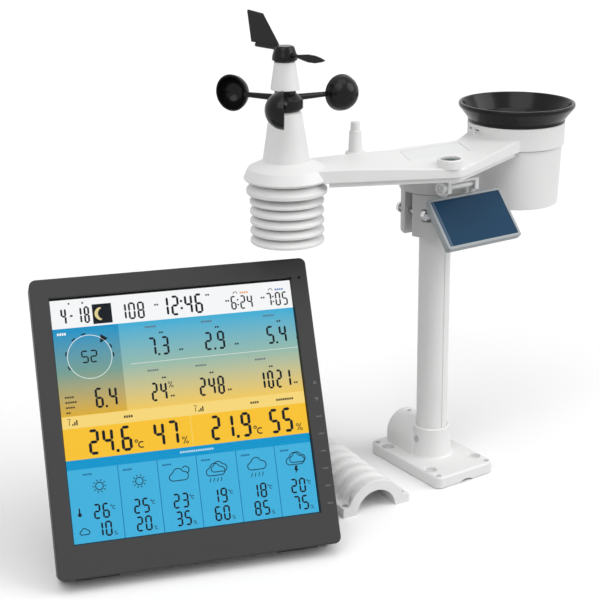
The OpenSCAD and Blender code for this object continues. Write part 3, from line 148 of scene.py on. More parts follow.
base_x, base_y, base_h = 30.5, 47.5, 10.8
rail_r, rail_depth = 13.4, 3
pole_bore, lying_z = 13.2, 20
seat_x, seat_y = 24, 29
strap_x, strap_y = 26, 42
plate = prism(box_outline(-base_x, -base_y, base_x, base_y, 6), 0, base_h, 1.8)
cuts = [move(rod(rail_r, -60, 60, 96), z=rail_depth - rail_r, lean=90),
        move(rod(pole_bore, -60, -39, 64), z=lying_z, lean=90)]
seat = [(0, -1), (3, -1), (3, 6), (5.2, 6), (5.2, 10.2), (5.9, 10.9), (5.9, 12), (0, 12)]
hole = [(0, -1), (2.5, -1), (2.5, 10.2), (3.2, 10.9), (3.2, 12), (0, 12)]
for sx in (-1, 1):
    for sy in (-1, 1):
        cuts.append(move(lathe(seat, 40), seat_x * sx, seat_y * sy))
        cuts.append(move(lathe(hole, 32), strap_x * sx, strap_y * sy))
plate = cut(plate, *cuts)

# Sockets on the base
# The upright socket that holds the pole, with a fillet at its foot and a way for the cross screw, and the
# hump whose lying socket takes the pole on a wall. White satin plastic, moulded in one with the plate.


def arc(x, y, r, start, end, n=0):
    """Points of an arc between two headings in degrees, in n steps or else in steps of about 12 degrees."""
    n = n or max(3, round(abs(end - start) / 12))
    turns = [math.radians(start + (end - start) * k / n) for k in range(n + 1)]
    return [(x + r * math.cos(a), y + r * math.sin(a)) for a in turns]


def piece(name, bm, material, body, *nodes, sharp=38):
    """Shows a solid as an object that moves with a body and stands for CAD nodes."""
    bmesh.ops.remove_doubles(bm, verts=bm.verts, dist=0.002)
    bmesh.ops.dissolve_degenerate(bm, dist=0.02, edges=bm.edges)
    bmesh.ops.delete(bm, geom=[e for e in bm.edges if e.is_wire], context="EDGES")
    bmesh.ops.recalc_face_normals(bm, faces=bm.faces)
    for f in bm.faces:
        f.smooth = True
    for e in bm.edges:
        e.smooth = len(e.link_faces) == 2 and e.calc_face_angle(0) < math.radians(sharp)
    bm.transform(Matrix.Scale(0.001, 4))
    mesh = bpy.data.meshes.new(name)
    bm.to_mesh(mesh)
    bm.free()
    mesh.materials.append(material)
    obj = bpy.data.objects.new(name, mesh)
    bpy.context.scene.collection.objects.link(obj)
    obj.modifiers.new("even_normals", "WEIGHTED_NORMAL").keep_sharp = True
    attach(obj, body)
    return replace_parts(obj, *nodes)


def moulded(name, colour, roughness, spread=0.03, grain=0.12, coat=0.0, metal=0.0, specular=0.5, scale=900):
    """Material with a slight cloudiness in its colour and gloss, and a fine grain."""
    m = bpy.data.materials.new(name)
    m.use_nodes = True
    nodes, links = m.node_tree.nodes, m.node_tree.links
    shader = nodes["Principled BSDF"]
    place = nodes.new("ShaderNodeTexCoord").outputs["Object"]
    cloud = nodes.new("ShaderNodeTexNoise")
    cloud.inputs["Scale"].default_value = 22
    cloud.inputs["Detail"].default_value = 4
    links.new(place, cloud.inputs["Vector"])
    tint = nodes.new("ShaderNodeMix")
    tint.data_type = "RGBA"
    tint.inputs["A"].default_value = [c * (1 - spread) for c in colour] + [1]
    tint.inputs["B"].default_value = [min(1, c * (1 + spread)) for c in colour] + [1]
    links.new(cloud.outputs["Fac"], tint.inputs["Factor"])
    links.new(tint.outputs["Result"], shader.inputs["Base Color"])
    gloss = nodes.new("ShaderNodeMapRange")
    gloss.inputs["To Min"].default_value = roughness - 0.04
    gloss.inputs["To Max"].default_value = roughness + 0.04
    links.new(cloud.outputs["Fac"], gloss.inputs["Value"])
    links.new(gloss.outputs["Result"], shader.inputs["Roughness"])
    fine = nodes.new("ShaderNodeTexNoise")
    fine.inputs["Scale"].default_value = scale
    links.new(place, fine.inputs["Vector"])
    bump = nodes.new("ShaderNodeBump")
    bump.inputs["Strength"].default_value = grain
    bump.inputs["Distance"].default_value = 0.0001
    links.new(fine.outputs["Fac"], bump.inputs["Height"])
    links.new(bump.outputs["Normal"], shader.inputs["Normal"])
    shader.inputs["Coat Weight"].default_value = coat
    shader.inputs["Coat Roughness"].default_value = 0.06
    shader.inputs["Metallic"].default_value = metal
    shader.inputs["Specular IOR Level"].default_value = specular
    return m


white = moulded("white_satin", (0.80, 0.80, 0.795), 0.42)
socket_foot, socket_top, cross_screw_z = 6, 36.8, 26.4
hump_r, hump_front, hump_back, upright_r = 18, -40, -3, 14.5
socket = rounded([(13.25, socket_foot), (13.25, socket_top, 0.5), (15.6, socket_top, 0.9),
                  (17.4, 10.75, 2.4), (21, 10.75), (21, socket_foot)], steps=5)
screw_way = [(0, -30), (2.85, -30), (2.85, -14.8), (1.7, -14.8), (1.7, 14.8), (3.15, 14.8), (3.15, 30),
             (0, 30)]
socket = cut(lathe(socket), move(lathe(screw_way, 40), z=cross_screw_z, roll=90))
arch = [(-hump_r, 9), (hump_r, 9)] + arc(0, lying_z, hump_r, 0, 180, 40)
hump = move(prism(arch, hump_front, hump_back, 1.4, limit=50), lean=90)
mouth = [(0, -45), (14.4, -45), (14.4, -39.6), (pole_bore, -38.4), (pole_bore, -18), (0, -18)]
top_hole = [(0, 30), (2.2, 30), (2.2, 37.4), (2.9, 38.1), (2.9, 40), (0, 40)]
hump = cut(hump, move(lathe(mouth, 64), z=lying_z, lean=90), move(lathe(top_hole, 32), y=32),
           rod(upright_r, 0, 50, 96))
piece("base", together(plate, socket, hump), white, "ground_mount", "mount_base")

# Pole and cross screw
# White plastic tube with a narrow keyway down its front, pushed into the upright socket and held there by a
# plated screw and nut across the socket.


def dress(material, *names):
    """Gives CAD nodes that are shown as they are a material."""
    for n in names:
        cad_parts[n].data.materials.clear()
        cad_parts[n].data.materials.append(material)


pole_r, pole_wall, pole_top = 13.1, 2.4, 267.6
keyway = [(-0.8, -12.5), (0.8, -12.5)]
tube = prism(keyway + arc(0, 0, pole_r, -86.5, 266.5, 120), socket_foot, pole_top)
pole = cut(tube, rod(pole_r - pole_wall, 0, 270, 64))
piece("pole", pole, white, "ground_mount", "mount_pole", sharp=25)
steel = moulded("plated_steel", (0.62, 0.62, 0.63), 0.3, 0.05, 0.05, metal=1.0)
dress(steel, "pole_lock_screw")

# Loose strap
# The half shell that clamps the base onto a round rail, lying beside it: an arch with seven rounded hoop
# ribs, hollow curves down to two flanges, and a bolt pocket at each corner. White plastic, moulded in one.

flange_h, strap_bore = 8, 17.6
strap_place, strap_turn = (-87.3, 1.7), -6
rib_count, rib_first, rib_half = 7, -44, 4.7
valley_r, rib_rise = 20.7, 5.6


def hoop(reach):
    """Cross section of the strap for an arch radius, from the right flange over the arch and back below."""
    fillet = 4.0
    x = math.sqrt((reach + fillet) ** 2 - (flange_h + fillet) ** 2)
    low = math.degrees(math.atan2(flange_h + fillet, x))
    side = [(base_x, 0.6), (base_x, flange_h - 1), (base_x - 0.3, flange_h - 0.3), (base_x - 1, flange_h)]
    side += arc(x, flange_h + fillet, fillet, -90, low - 180, 6)
    over = arc(0, 0, reach, low, 180 - low, 48)[1:-1]
    under = [p for p in arc(0, 0, strap_bore, 180, 0, 48) if p[1] > 0.3]
    left = [(-px, pz) for px, pz in reversed(side)]
    return [(base_x - 0.6, 0)] + side + over + left + [(0.6 - base_x, 0), (-18.2, 0)] + under + [(18.2, 0)]


stations = [(-base_y, 25.7), (0.4 - base_y, 26.3)]
for i in range(rib_count):
    for k in range(-6, 7):
        a = math.pi * k / 12
        y = rib_first - i * 2 * rib_first / (rib_count - 1) + rib_half * math.sin(a)
        if abs(y) < 0.1 - rib_first:
            stations.append((y, valley_r + rib_rise * abs(math.cos(a)) ** 0.5))
stations += [(base_y - 0.4, 26.3), (base_y, 25.7)]
strap = bmesh.new()
rings = [[strap.verts.new((x, y, z)) for x, z in hoop(r)] for y, r in stations]
rings = [[strap.edges.new((ring[i - 1], ring[i])) for i in range(len(ring))] for ring in rings]
for near, far in zip(rings, rings[1:]):
    bmesh.ops.bridge_loops(strap, edges=near + far)
bmesh.ops.contextual_create(strap, geom=rings[0])
bmesh.ops.contextual_create(strap, geom=rings[-1])
bmesh.ops.recalc_face_normals(strap, faces=strap.faces)
pocket = [(0, -1), (2.5, -1), (2.5, 7.95), (4.6, 7.95), (5, 8.4), (5, 28), (0, 28)]
pockets = [move(lathe(pocket, 40), strap_x * sx, strap_y * sy) for sx in (-1, 1) for sy in (-1, 1)]
strap = move(cut(strap, *pockets), *strap_place, turn=strap_turn)
piece("strap", strap, white, "strap", "strap_clamp", sharp=30)

# Pole clamp
# Two half shells under the arm that close on the pole with two bolts across a gap; the rear one hangs from
# a full ring and carries the panel's hinge barrel. Plastic, hollow from below, its grey darker than the
# rest as painted shade for the arm's shadow over it.

clamp_r, clamp_low, clamp_high = 28.4, 209, 245
gap_half, boss_r, clamp_wall = 4.5, 5.5, 2.6
ring_r, ring_top, barrel_r = 29.7, 271.5, 2.3
bolt_x, bolt_z = 22, 227.7
hinge_y, hinge_z, hinge_mid = -36, 254, -4.6


def half_shell(turn, z1):
    """Half ring around the pole on one side of the gap, hollow from below but for bolt bosses and a rib."""
    outer, inner = [math.degrees(math.asin(gap_half / r)) for r in (clamp_r, pole_bore)]
    around = arc(0, 0, clamp_r, outer, 180 - outer, 64) + arc(0, 0, pole_bore, 180 - inner, inner, 48)
    solid = prism(around, clamp_low, z1, 0.7, 2)
    wells = []
    for first, last in ((24, 85), (95, 156)):
        well = arc(0, 0, clamp_r - clamp_wall, first, last, 24) + arc(0, 0, 15.75, last, first, 24)
        wells.append(prism(well, clamp_low - 1, z1 - 4))
    bosses = [move(rod(boss_r, -40, 40), s * bolt_x, 0, bolt_z, lean=90) for s in (-1, 1)]
    solid = move(cut(solid, cut(together(*wells), *bosses)), turn=turn)
    way = [(0, -40), (5, -40), (5, -15.95), (2.7, -15.95), (2.7, 13.35), (5.6, 13.35), (5.6, 40), (0, 40)]
    return cut(solid, *[move(lathe(way, 48), s * bolt_x, 0, bolt_z, lean=90) for s in (-1, 1)])


ring = rounded([(pole_bore, clamp_high), (ring_r, clamp_high, 0.6), (ring_r, ring_top),
                (pole_bore, ring_top)])
rear_half = together(half_shell(0, clamp_high), lathe(ring))
barrel = arc(hinge_y, hinge_z, barrel_r, 18, 297, 30) + [(-24, 251.9), (-24, 254.9)]
barrel = move(prism(barrel, -11.5, 11.5, 0.3, 1), hinge_mid, turn=90, lean=90)
# The clamp halves' darker grey is painted shade, standing in for the arm's shadow on them.
clamp_shade_grey = moulded("clamp_painted_shade", (0.56, 0.56, 0.557), 0.45)
piece("clamp_rear", rear_half, clamp_shade_grey, "sensor_head", "pole_clamp_rear")
piece("clamp_front", half_shell(180, clamp_high - 0.5), clamp_shade_grey, "sensor_head", "pole_clamp_front")
piece("hinge_barrel", barrel, white, "sensor_head")
dress(steel, "clamp_bolts")

# Arm
# The flat kite-shaped arm between wind column and rain gauge: a white moulded shell with a sloping front
# facet, a flared collar, a tall ring for the gauge and a latch, closed by a screwed cover with a lip.

wind_x, gauge_x = -144, 85
antenna_x, antenna_y = -72, 12
arm_low, arm_high, arm_wall = 271.4, 281.4, 2.2
fold_y, facet_fall = -40, 0.1
collar_r, collar_bore, collar_top = 40.5, 38.5, 289.8
slot_low, slot_high, slot_headings = 284.8, 286.3, (160, 176)


def inset(points, d):
    """Outline moved inwards by a distance."""
    out = []
    for i, p in enumerate(points):
        a, b, c = Vector(points[i - 1]), Vector(p), Vector(points[(i + 1) % len(points)])
        m, n = (b - a).normalized().orthogonal(), (c - b).normalized().orthogonal()
        out.append(tuple(b + (m + n) * (d / (1 + m.dot(n)))))
    return out


def slope_front(bm, above):
    """Lowers what lies above a height and in front of the fold line, more and more towards the front."""
    for v in bm.verts:
        if v.co.z > above and v.co.y < fold_y:
            v.co.z -= facet_fall * (fold_y - v.co.y)


def lock_slots():
    """Two slots through the gauge's collar and wall, where the funnel's spigot shows."""
    slot = box_outline(36, -2.8, 42, 2.8)
    return [move(prism(slot, slot_low, slot_high), gauge_x, turn=a) for a in slot_headings]


kite = [(-152.6, -18.4), (-34, -74, 9), (85, -22), (70, 34), (18, -2.5, 16), (-38, 1.5, 60)]
left_end = [(-150, 19)]
boss = arc(antenna_x, antenna_y, 7.9, -49, 211, 26)
arm = prism(rounded(kite, steps=8) + boss + left_end, arm_low, arm_high)
bmesh.ops.bisect_plane(arm, geom=arm.verts[:] + arm.edges[:] + arm.faces[:], plane_co=(0, fold_y, 0),
                       plane_no=(0, 1, 0))
slope_front(arm, 281)
edges = [e for e in arm.edges if e.calc_face_angle(0) > 0.9]
bmesh.ops.bevel(arm, geom=edges, offset=0.9, segments=3, profile=0.5, affect="EDGES", material=-1)
bare_kite = rounded(kite + left_end, steps=8)
hollow = prism(inset(bare_kite, arm_wall), 270, 279)
slope_front(hollow, 275)
label = [(-58, -39), (2, -39), (16, -8), (-44, -8)]
label_floor = 280.5
arm = cut(arm, hollow, prism(label, label_floor, 283))
arm = cut(arm, move(rod(collar_r - 1, 260, 300, 96), gauge_x), move(rod(28.3, 260, 279.4, 64), wind_x))
flare = rounded([(28, arm_low), (30.2, arm_low), (32.4, 273.2, 0.8), (28.8, 281.2, 2.5), (17.9, 286.2),
                 (13.1, 286.2), (13.1, 284), (26.6, 279.6)], steps=5)
collar = rounded([(collar_bore, arm_low), (collar_r, arm_low, 0.5), (collar_r, collar_top, 0.6),
                  (collar_bore, collar_top)])
collar = cut(move(lathe(collar, 128), gauge_x), *lock_slots())
latch = move(prism(box_outline(39.6, -3, 45.2, 3, 0.6), 280, 284.2, 0.5), gauge_x, turn=180)
notch = move(prism(box_outline(41.5, 1.0, 46, 1.9), 280, 286), gauge_x, turn=180)
arm = together(arm, move(lathe(flare), wind_x), collar, cut(latch, notch))
piece("arm", arm, white, "sensor_head", "arm_upper_shell", sharp=24)

lip_low, lip_high = 267.6, 271.5
cover_lip = cut(prism(inset(bare_kite, 3.4), lip_low, lip_high, 0.4, 2),
                prism(inset(bare_kite, 5.6), 260, 280), move(rod(collar_r + 1, 260, 280, 96), gauge_x),
                move(rod(34, 260, 280, 64), wind_x), rod(31, 260, 280, 64))
piece("cover_rim", cover_lip, white, "sensor_head")
dress(white, "arm_lower_cover", "battery_door")
dress(steel, "arm_screws")

# Label plate, light sensor and antenna on the arm
# A thin matt plate set flush into the arm's top; the light sensor, a dark eye in a frosted pane inside a
# raised ring at the front corner; and the radio antenna's stub with a narrower tip, on a boss at the back.

light_x, light_y, pane_low = -38, -63, 282.5
matt = moulded("label_white", (0.78, 0.785, 0.79), 0.6, 0.02, 0.2)
label_plate = prism(inset(label, 0.5), label_floor, arm_high - 0.1, 0.15, 2)
piece("label_plate", label_plate, matt, "sensor_head", "arm_inset_plate")
mount = rounded([(0, 276), (7.2, 276), (7.2, 278.2), (9.8, 278.2), (9.8, 285.1, 1.0), (8.05, 285.1, 0.3),
                 (8.05, 282.4), (0, 282.4)], steps=5)
piece("light_ring", move(lathe(mount), light_x, light_y), white, "sensor_head", "light_sensor_ring")
frosted = moulded("sensor_frosted", (0.20, 0.205, 0.205), 0.5, 0.05, 0.05, specular=0.2)
pane = [(4.5, pane_low), (7.95, pane_low), (7.95, 283.6), (4.5, 283.6)]
piece("light_window", move(lathe(pane), light_x, light_y), frosted, "sensor_head", "light_sensor_window")
teal = moulded("sensor_glass", (0.012, 0.050, 0.040), 0.2, 0.3, 0.0, specular=0.2)
eye = [(0, pane_low), (4.4, pane_low), (4.4, 283.5), (3.9, 284.1), (2.6, 284.5), (0, 284.7)]
piece("light_eye", move(lathe(eye), light_x, light_y), teal, "sensor_head")
stub = rounded([(0, 281.3), (5.7, 281.3), (5.5, 281.9), (4.7, 298, 0.5), (3.8, 298.3), (3.5, 305, 0.9),
                (0, 305)], steps=4)
piece("antenna", move(lathe(stub, 64), antenna_x, antenna_y), white, "sensor_head", "antenna_stub")

# Radiation shield
# Six stacked louvre rings on three threaded rods under the column keep sun and rain off the climate probe.
# White plastic with rolled-down rims; the top ring is taller, and the lowest has a slotted floor.

louvre_r, louvre_z, louvre_pitch = 28.2, 261.8, 7.6


def louvre(r, z, tall=6.2):
    """One ring from its bore out to its rolled rim."""
    ceiling = z + tall - 1.4
    wall = [(17, ceiling), (17, z + tall), (r - 4.6, z + tall, 2.0), (r, z + 0.36 * tall, 1.7),
            (r - 0.3, z, 0.8), (r - 2.4, z, 0.7), (r - 5.4, ceiling, 1.5)]
    return move(lathe(rounded(wall)), wind_x)


piece("louvre_top", louvre(30.6, louvre_z, 8.4), white, "sensor_head", "shield_top_plate")
louvres = [louvre(louvre_r, louvre_z - louvre_pitch * i) for i in range(1, 6)]
piece("louvres", together(*louvres[:4]), white, "sensor_head", "shield_plates")
floor_slots = [move(prism(box_outline(-1, -9, 1, 9, 0.8), 227, 232), wind_x + 5 * i) for i in range(-2, 3)]
shield_floor = cut(move(rod(17.5, 228.6, 230, 96), wind_x), *floor_slots)
piece("louvre_base", together(louvres[4], shield_floor), white, "sensor_head", "shield_base_plate")
green = moulded("circuit_board", (0.02, 0.14, 0.06), 0.45, 0.25, 0.1)
dress(steel, "shield_rods")
dress(green, "climate_probe", "sensor_board", "wind_board", "console_board")
dress(moulded("battery_wrap", (0.2, 0.21, 0.22), 0.35, 0.1, 0.05, metal=0.4), "sensor_battery")

# Wind column
# White tapered tower with the fixed steel spindle in its top, and the upper cone that the spindle carries
# above the cups. Both are thin mouldings with a slight draw and a bevelled shoulder.

spindle_bore = 4.05
tower = rounded([(spindle_bore, 286.2), (17.7, 286.2), (17.6, 287), (12.2, 321.5, 1.2), (10.1, 323.6, 0.6),
                 (spindle_bore, 323.6)], steps=5)
piece("tower", move(lathe(tower), wind_x), white, "sensor_head", "wind_tower", sharp=30)
cone = rounded([(spindle_bore, 339.2), (10.9, 339.2, 0.4), (7.8, 359.6, 0.5), (1.6, 359.6)], steps=4)
piece("upper_cone_cap", move(lathe(cone), wind_x), white, "sensor_head", "upper_cone", sharp=30)
dress(steel, "wind_spindle", "vane_shaft")
dress(moulded("magnet", (0.12, 0.12, 0.125), 0.5, 0.1, 0.1, metal=0.8), "rotor_magnet")

# Cup rotor
# Glossy black moulding that turns on the spindle: a stepped hub with three tapered arms, each with a thin
# hemispherical cup whose mouth faces the same way round.

cup_r, cup_wall, cup_reach, cup_z = 13.6, 1.2, 47.5, 332.46
cup_headings = (-124.3, -4.3, 115.7)
black = moulded("black_gloss", (0.007, 0.007, 0.008), 0.22, 0.2, 0.03, coat=0.06, specular=0.15)
hub = rounded([(spindle_bore, 324.2), (11.8, 324.2), (13.2, 325.8, 0.9), (13.2, 332.0, 0.7),
               (7.8, 336.8, 1.2), (7.8, 338.2, 0.4), (spindle_bore, 338.2)], steps=4)
cup_lip = [(13.75, -1.0), (13.85, -0.4), (cup_r, 0.0), (12.5, 0.0)]
cup_shell = arc(0, 0, cup_r, -90, 0, 24)[:-1] + cup_lip + arc(0, 0, cup_r - cup_wall, 0, -90, 24)[1:]
spider = [move(lathe(hub), wind_x)]
for heading in cup_headings:
    cup = move(lathe(cup_shell, 64), cup_reach, 0, cup_z, lean=-90)
    spoke = move(lathe([(0, 6), (2.6, 6), (1.9, 35.1), (0, 35.1)], 24), z=cup_z, roll=90)
    spider.append(move(together(cup, spoke), wind_x, turn=heading))
piece("cups", together(*spider), black, "rotor", "cup_rotor", sharp=30)

# Wind vane
# Glossy black, moulded in one: a capped hub on the vane's shaft, a leaf-shaped pointer in front, and a
# round tail bar with a thin swept fin standing on it.

vane_heading, tail_z, pointer_z = -82, 368.6, 364.8
cap = rounded([(0, 360.6), (9.4, 360.6, 0.5), (9.2, 363.6, 1.0), (7.5, 369.2, 1.2), (6.6, 371.0, 1.6),
               (0, 371.0)], steps=4)
tail = rounded([(0, -32), (1.7, -32, 0.5), (1.7, -2), (0, -2)], steps=3)
neck = rounded([(0, 4), (1.9, 4), (1.9, 12, 0.4), (1.3, 12.6), (1.3, 18), (0, 18)], steps=3)
blade = [(-6.4, 370.1), (-7.0, 371.7), (-24.2, 392.1, 1.0), (-41, 393.5, 0.8), (-36.9, 370.1, 0.8)]
leaf = [(12, 363.9), (19, 362.7), (26, 361.7), (33, 361.9), (39, 363.1), (44, 364.8), (39, 366.4),
        (33, 367.4), (26, 367.5), (19, 366.6), (12, 365.7)]
vane = together(lathe(cap), move(lathe(tail, 24), z=tail_z, roll=90),
                move(prism(rounded(blade, steps=4), -0.9, 0.9, 0.35, 2), lean=90),
                move(lathe(neck, 24), z=pointer_z, roll=90),
                move(prism(leaf, -1.0, 1.0, 0.7, 3, limit=40), lean=90))
piece("vane", move(vane, wind_x, turn=vane_heading), black, "vane", "wind_vane", sharp=30)

# Rain gauge
# White tapered housing that hangs in the arm's ring, its floor carrying the tipping bucket. The black funnel
# sits on the ring by a turn-lock spigot: a flared bowl with a rolled rim, a steep cone and a strainer.

housing = rounded([(34.9, 221.6), (37.0, 221.6, 0.8), (38.7, 270.8), (38.3, 270.9), (38.3, 287.2),
                   (36.3, 287.2), (36.3, 270.8), (35.0, 225)], steps=4)
housing = cut(move(lathe(housing, 128), gauge_x), *lock_slots())
piece("rain_body", housing, white, "sensor_head", "rain_housing", sharp=30)
dress(white, "rain_base")
dress(steel, "tipping_axle")
spigot = [(33.9, 286.4), (33.9, 280.8), (35.9, 280.8), (35.9, 290.2)]
flared = [(collar_r, 290.2, 0.3), (collar_r, 292.6, 1.2), (47.8, 301.8, 1.0), (48.4, 302.9, 0.7)]
rim = [(48.4, 305.5, 1.1), (45.8, 305.5, 1.2), (44.0, 301.5, 2.0)]
bowl = [(38.9, 292.6, 3.0), (31.9, 287.4, 3.0), (3.0, 263.4)]
spout = [(3.0, 258.8), (4.2, 258.8), (4.2, 262.8)]
funnel = lathe(rounded(spout + spigot + flared + rim + bowl, steps=5), 128)
piece("funnel", move(funnel, gauge_x), black, "funnel", "rain_funnel", sharp=30)
dress(black, "rain_screen", "tipping_bucket")

# Solar panel
# A silver-grey frame around a dark blue glass cell, on a white yoke that swings on a pin through the clamp's
# barrel; a ring-shaped knob sits on the pin's left end. Drawn level, its hinge on the X axis, then tilted.

panel_lean, post_gap = 49, 13.8
frame_x, frame_low, frame_high = 37.5, -49.4, -4.8
frame_back, frame_front, cell_floor = -11.5, -5.5, -7.6
cell_border, cell_gap = 2.6, 0.1


def on_hinge(bm):
    """Puts a solid drawn level, with its hinge on the X axis, in its place."""
    return move(bm, 0, hinge_y, hinge_z, lean=panel_lean)


silver = moulded("frame_silver", (0.30, 0.325, 0.34), 0.45, 0.03, 0.06)
case = prism(box_outline(-frame_x, frame_low, frame_x, frame_high, 2.4), frame_back, frame_front, 0.9)
back_slope = move(prism([(-13, -12), (-4.7, -12), (-4.7, -7.9)], -40, 40), turn=90, lean=90)
cell_x, cell_low, cell_high = frame_x - cell_border, frame_low + cell_border, frame_high - cell_border
well = prism(box_outline(-cell_x, cell_low, cell_x, cell_high, 0.8), cell_floor, 0)
piece("panel_frame", on_hinge(cut(case, well, back_slope)), silver, "panel", "solar_frame")

bar = prism([(-4.4, 3.4), (1.4, 3.4), (1.4, 5.6), (-4.4, 5.6)], -15.7, 15.7, 0.4, 2)
yoke = [move(bar, hinge_mid, hinge_y, hinge_z, turn=90, lean=90)]
pad = arc(0, 0, 4.4, 0, 360, 40)[:-1]
web = [(-4.75, -7.9), (-2.8, -7.9), (3.3, -2.9), (-3.1, 3.1), (-4.75, -5.5)]
post = [(-4.3, -4.2), (0, -4.2), (1.3, 0), (1.3, 5.0), (-4.3, 5.0)]
for x in (hinge_mid - post_gap, hinge_mid + post_gap):
    pads = together(prism(pad, -1.9, 1.9, 0.4, 2), prism(web, -1.9, 1.9, 0.3, 1))
    yoke.append(on_hinge(move(pads, x, turn=90, lean=90)))
    yoke.append(move(prism(post, -1.8, 1.8, 0.4, 2), x, hinge_y, hinge_z, turn=90, lean=90))
piece("panel_yoke", together(*yoke), white, "panel", "solar_yoke")

knob = rounded([(0, -25.1), (1.9, -25.1), (1.9, -24.2), (3.5, -24.2), (3.5, -25.5, 0.2), (5.6, -25.5, 0.6),
                (5.6, -23.7, 0.3), (3.5, -23.7), (3.5, -20.3), (1.6, -20.3), (1.6, 9.8), (0, 9.8)], steps=3)
slot = prism(box_outline(-26, -0.5, -24.4, 0.5), -1.9, 1.9)
piece("panel_pin", on_hinge(cut(move(lathe(knob, 64), roll=90), slot)), white, "panel", "solar_hinge_pin")

glass = moulded("cell_glass", (0.007, 0.042, 0.092), 0.4, 0.04, 0.0, specular=0.08)
nodes, links = glass.node_tree.nodes, glass.node_tree.links
across = nodes.new("ShaderNodeSeparateXYZ")
links.new(nodes["Texture Coordinate"].outputs["Object"], across.inputs["Vector"])
tint = nodes["Mix"].outputs["Result"]
wire_half = 0.2
for wire_x in (-33.5, -32.3):
    on_wire = nodes.new("ShaderNodeMath")
    on_wire.operation = "COMPARE"
    on_wire.inputs[1].default_value, on_wire.inputs[2].default_value = wire_x / 1000, wire_half / 1000
    links.new(across.outputs["X"], on_wire.inputs[0])
    wire = nodes.new("ShaderNodeMix")
    wire.data_type = "RGBA"
    wire.inputs["B"].default_value = (0.20, 0.27, 0.34, 1)
    links.new(on_wire.outputs["Value"], wire.inputs["Factor"])
    links.new(tint, wire.inputs["A"])
    tint = wire.outputs["Result"]
links.new(tint, nodes["Principled BSDF"].inputs["Base Color"])
cell = box_outline(cell_gap - cell_x, cell_low + cell_gap, cell_x - cell_gap, cell_high - cell_gap, 0.7)
piece("panel_cell", on_hinge(prism(cell, cell_floor + cell_gap, -5.9, 0.2, 2)), glass, "panel", "solar_cell")

# Console housing
# The indoor display: a dark grey bezel with a sloped screen opening, screwed to a rear shell with a stand, a
# coin cell, air slots and keys. Drawn on its back, lower front edge at the origin, then leaned into place.

con_x, con_h, con_deep, con_wall, con_round = 104.75, 219.5, 26.2, 2.2, 5
con_place, con_turn, con_lean = (-258.3, -57.9, 12.26), -19.3, 62.1
seam_front, seam_back = -8.6, -8.8
screen_x0, screen_y0, screen_x1, screen_y1 = -90.85, 25.0, 91.25, 204.5
opening_slope = 1.1
key_rows = [122.5 - 13.15 * i for i in range(8)]
stand_x, stand_top, stand_floor = 30.4, 123, -19.6
coin_x, coin_y = -52.4, 171.2
inlet_x, inlet_y = 69.8, 39.5
screw_inset, beyond = 7, -30


def on_console(bm):
    """Puts a solid drawn in the console's own axes in its place."""
    return move(bm, *con_place, turn=con_turn, lean=con_lean)


grey = moulded("bezel_grain", (0.034, 0.034, 0.035), 0.55, 0.06, 0.35, specular=0.3, scale=1500)
outer = box_outline(-con_x, 0, con_x, con_h, con_round)
inner = box_outline(con_wall - con_x, con_wall, con_x - con_wall, con_h - con_wall, con_round - con_wall)
opening = prism(box_outline(screen_x0, screen_y0, screen_x1, screen_y1), -12, 1)
for v in opening.verts:
    if v.co.z > 0:
        v.co.x += math.copysign(opening_slope, v.co.x)
        v.co.y += math.copysign(opening_slope, v.co.y - con_h / 2)
    else:
        v.co.z = -3.4
bezel = cut(prism(outer, seam_front, 0, 1.3), opening, prism(inner, -12, -2.6))
bezel.normal_update()
# The opening's sloped inner faces take a second, near-black material: painted shade for the slopes in
# shadow.
for f in bezel.faces:
    at = f.calc_center_median()
    in_opening = screen_x0 - 1 < at.x < screen_x1 + 1 and screen_y0 - 1 < at.y < screen_y1 + 1
    f.material_index = 1 if in_opening and 0.1 < f.normal.z < 0.9 else 0
bezel = piece("bezel", on_console(bezel), grey, "console", "console_bezel")
# Near-black for the opening's slopes: painted shade.
bezel.data.materials.append(moulded("opening_painted_shade", (0.006, 0.006, 0.0065), 0.6, 0.1, 0.1))

stand_box = box_outline(-stand_x - con_wall, 3, stand_x + con_wall, stand_top + con_wall)
shell = together(cut(prism(outer, -con_deep, seam_back, 1.3), prism(inner, con_wall - con_deep, 0)),
                 prism(stand_box, -25, stand_floor + con_wall),
                 move(rod(15.6, -25, -20, 48), coin_x, coin_y))
openings = [prism(box_outline(-stand_x, 4.4, stand_x, stand_top, 1), beyond, stand_floor),
            move(rod(12.4, beyond, -24.6, 64), coin_x, coin_y)]
for x in (screw_inset - con_x, con_x - screw_inset):
    for y in (screw_inset, con_h - screw_inset):
        openings.append(move(rod(2.7, beyond, -24.4), x, y))
openings.append(move(rod(5.1, beyond, -20, 40), inlet_x, inlet_y))
for i in range(8):
    vent_x = 37 + 4.4 * i
    openings.append(prism(box_outline(vent_x, 160, vent_x + 2, 182, 0.9), beyond, -25))
for y in key_rows:
    openings.append(prism(box_outline(101, y - 4.3, 106, y + 4.3), -19.7, -15.1))
below_ground = prism(box_outline(-600, -400, 100, 400), -60, 1.5)
shell = cut(on_console(cut(shell, *openings)), below_ground)
piece("rear_shell", shell, grey, "console", "console_rear_shell")
dress(grey, "console_stand", "console_battery_cover", *["console_key_%d" % i for i in range(1, 9)])
dress(steel, "console_stand_pin", "console_coin_cell", "console_screws")
dress(moulded("rubber", (0.02, 0.02, 0.021), 0.75, 0.1, 0.3), "console_feet", "console_dc_inlet")

# Console screen
# A backlit colour display behind a clear window: bands of colour, thin seven-bar figures and line drawings.
# Drawn from its lower left corner; the numbers are made up, and rows of dashes stand for its captions.


def shown(*colour):
    """Screen colour of 0 to 255 as light."""
    return [((c / 255 + 0.055) / 1.055) ** 2.4 for c in colour] + [1.0]


picture_w, picture_h = screen_x1 - screen_x0, screen_y1 - screen_y0
ink, paper = shown(18, 24, 32), shown(251, 252, 253)
canvas = bmesh.new()
tone = canvas.loops.layers.float_color.new("tone")
sheet = 0


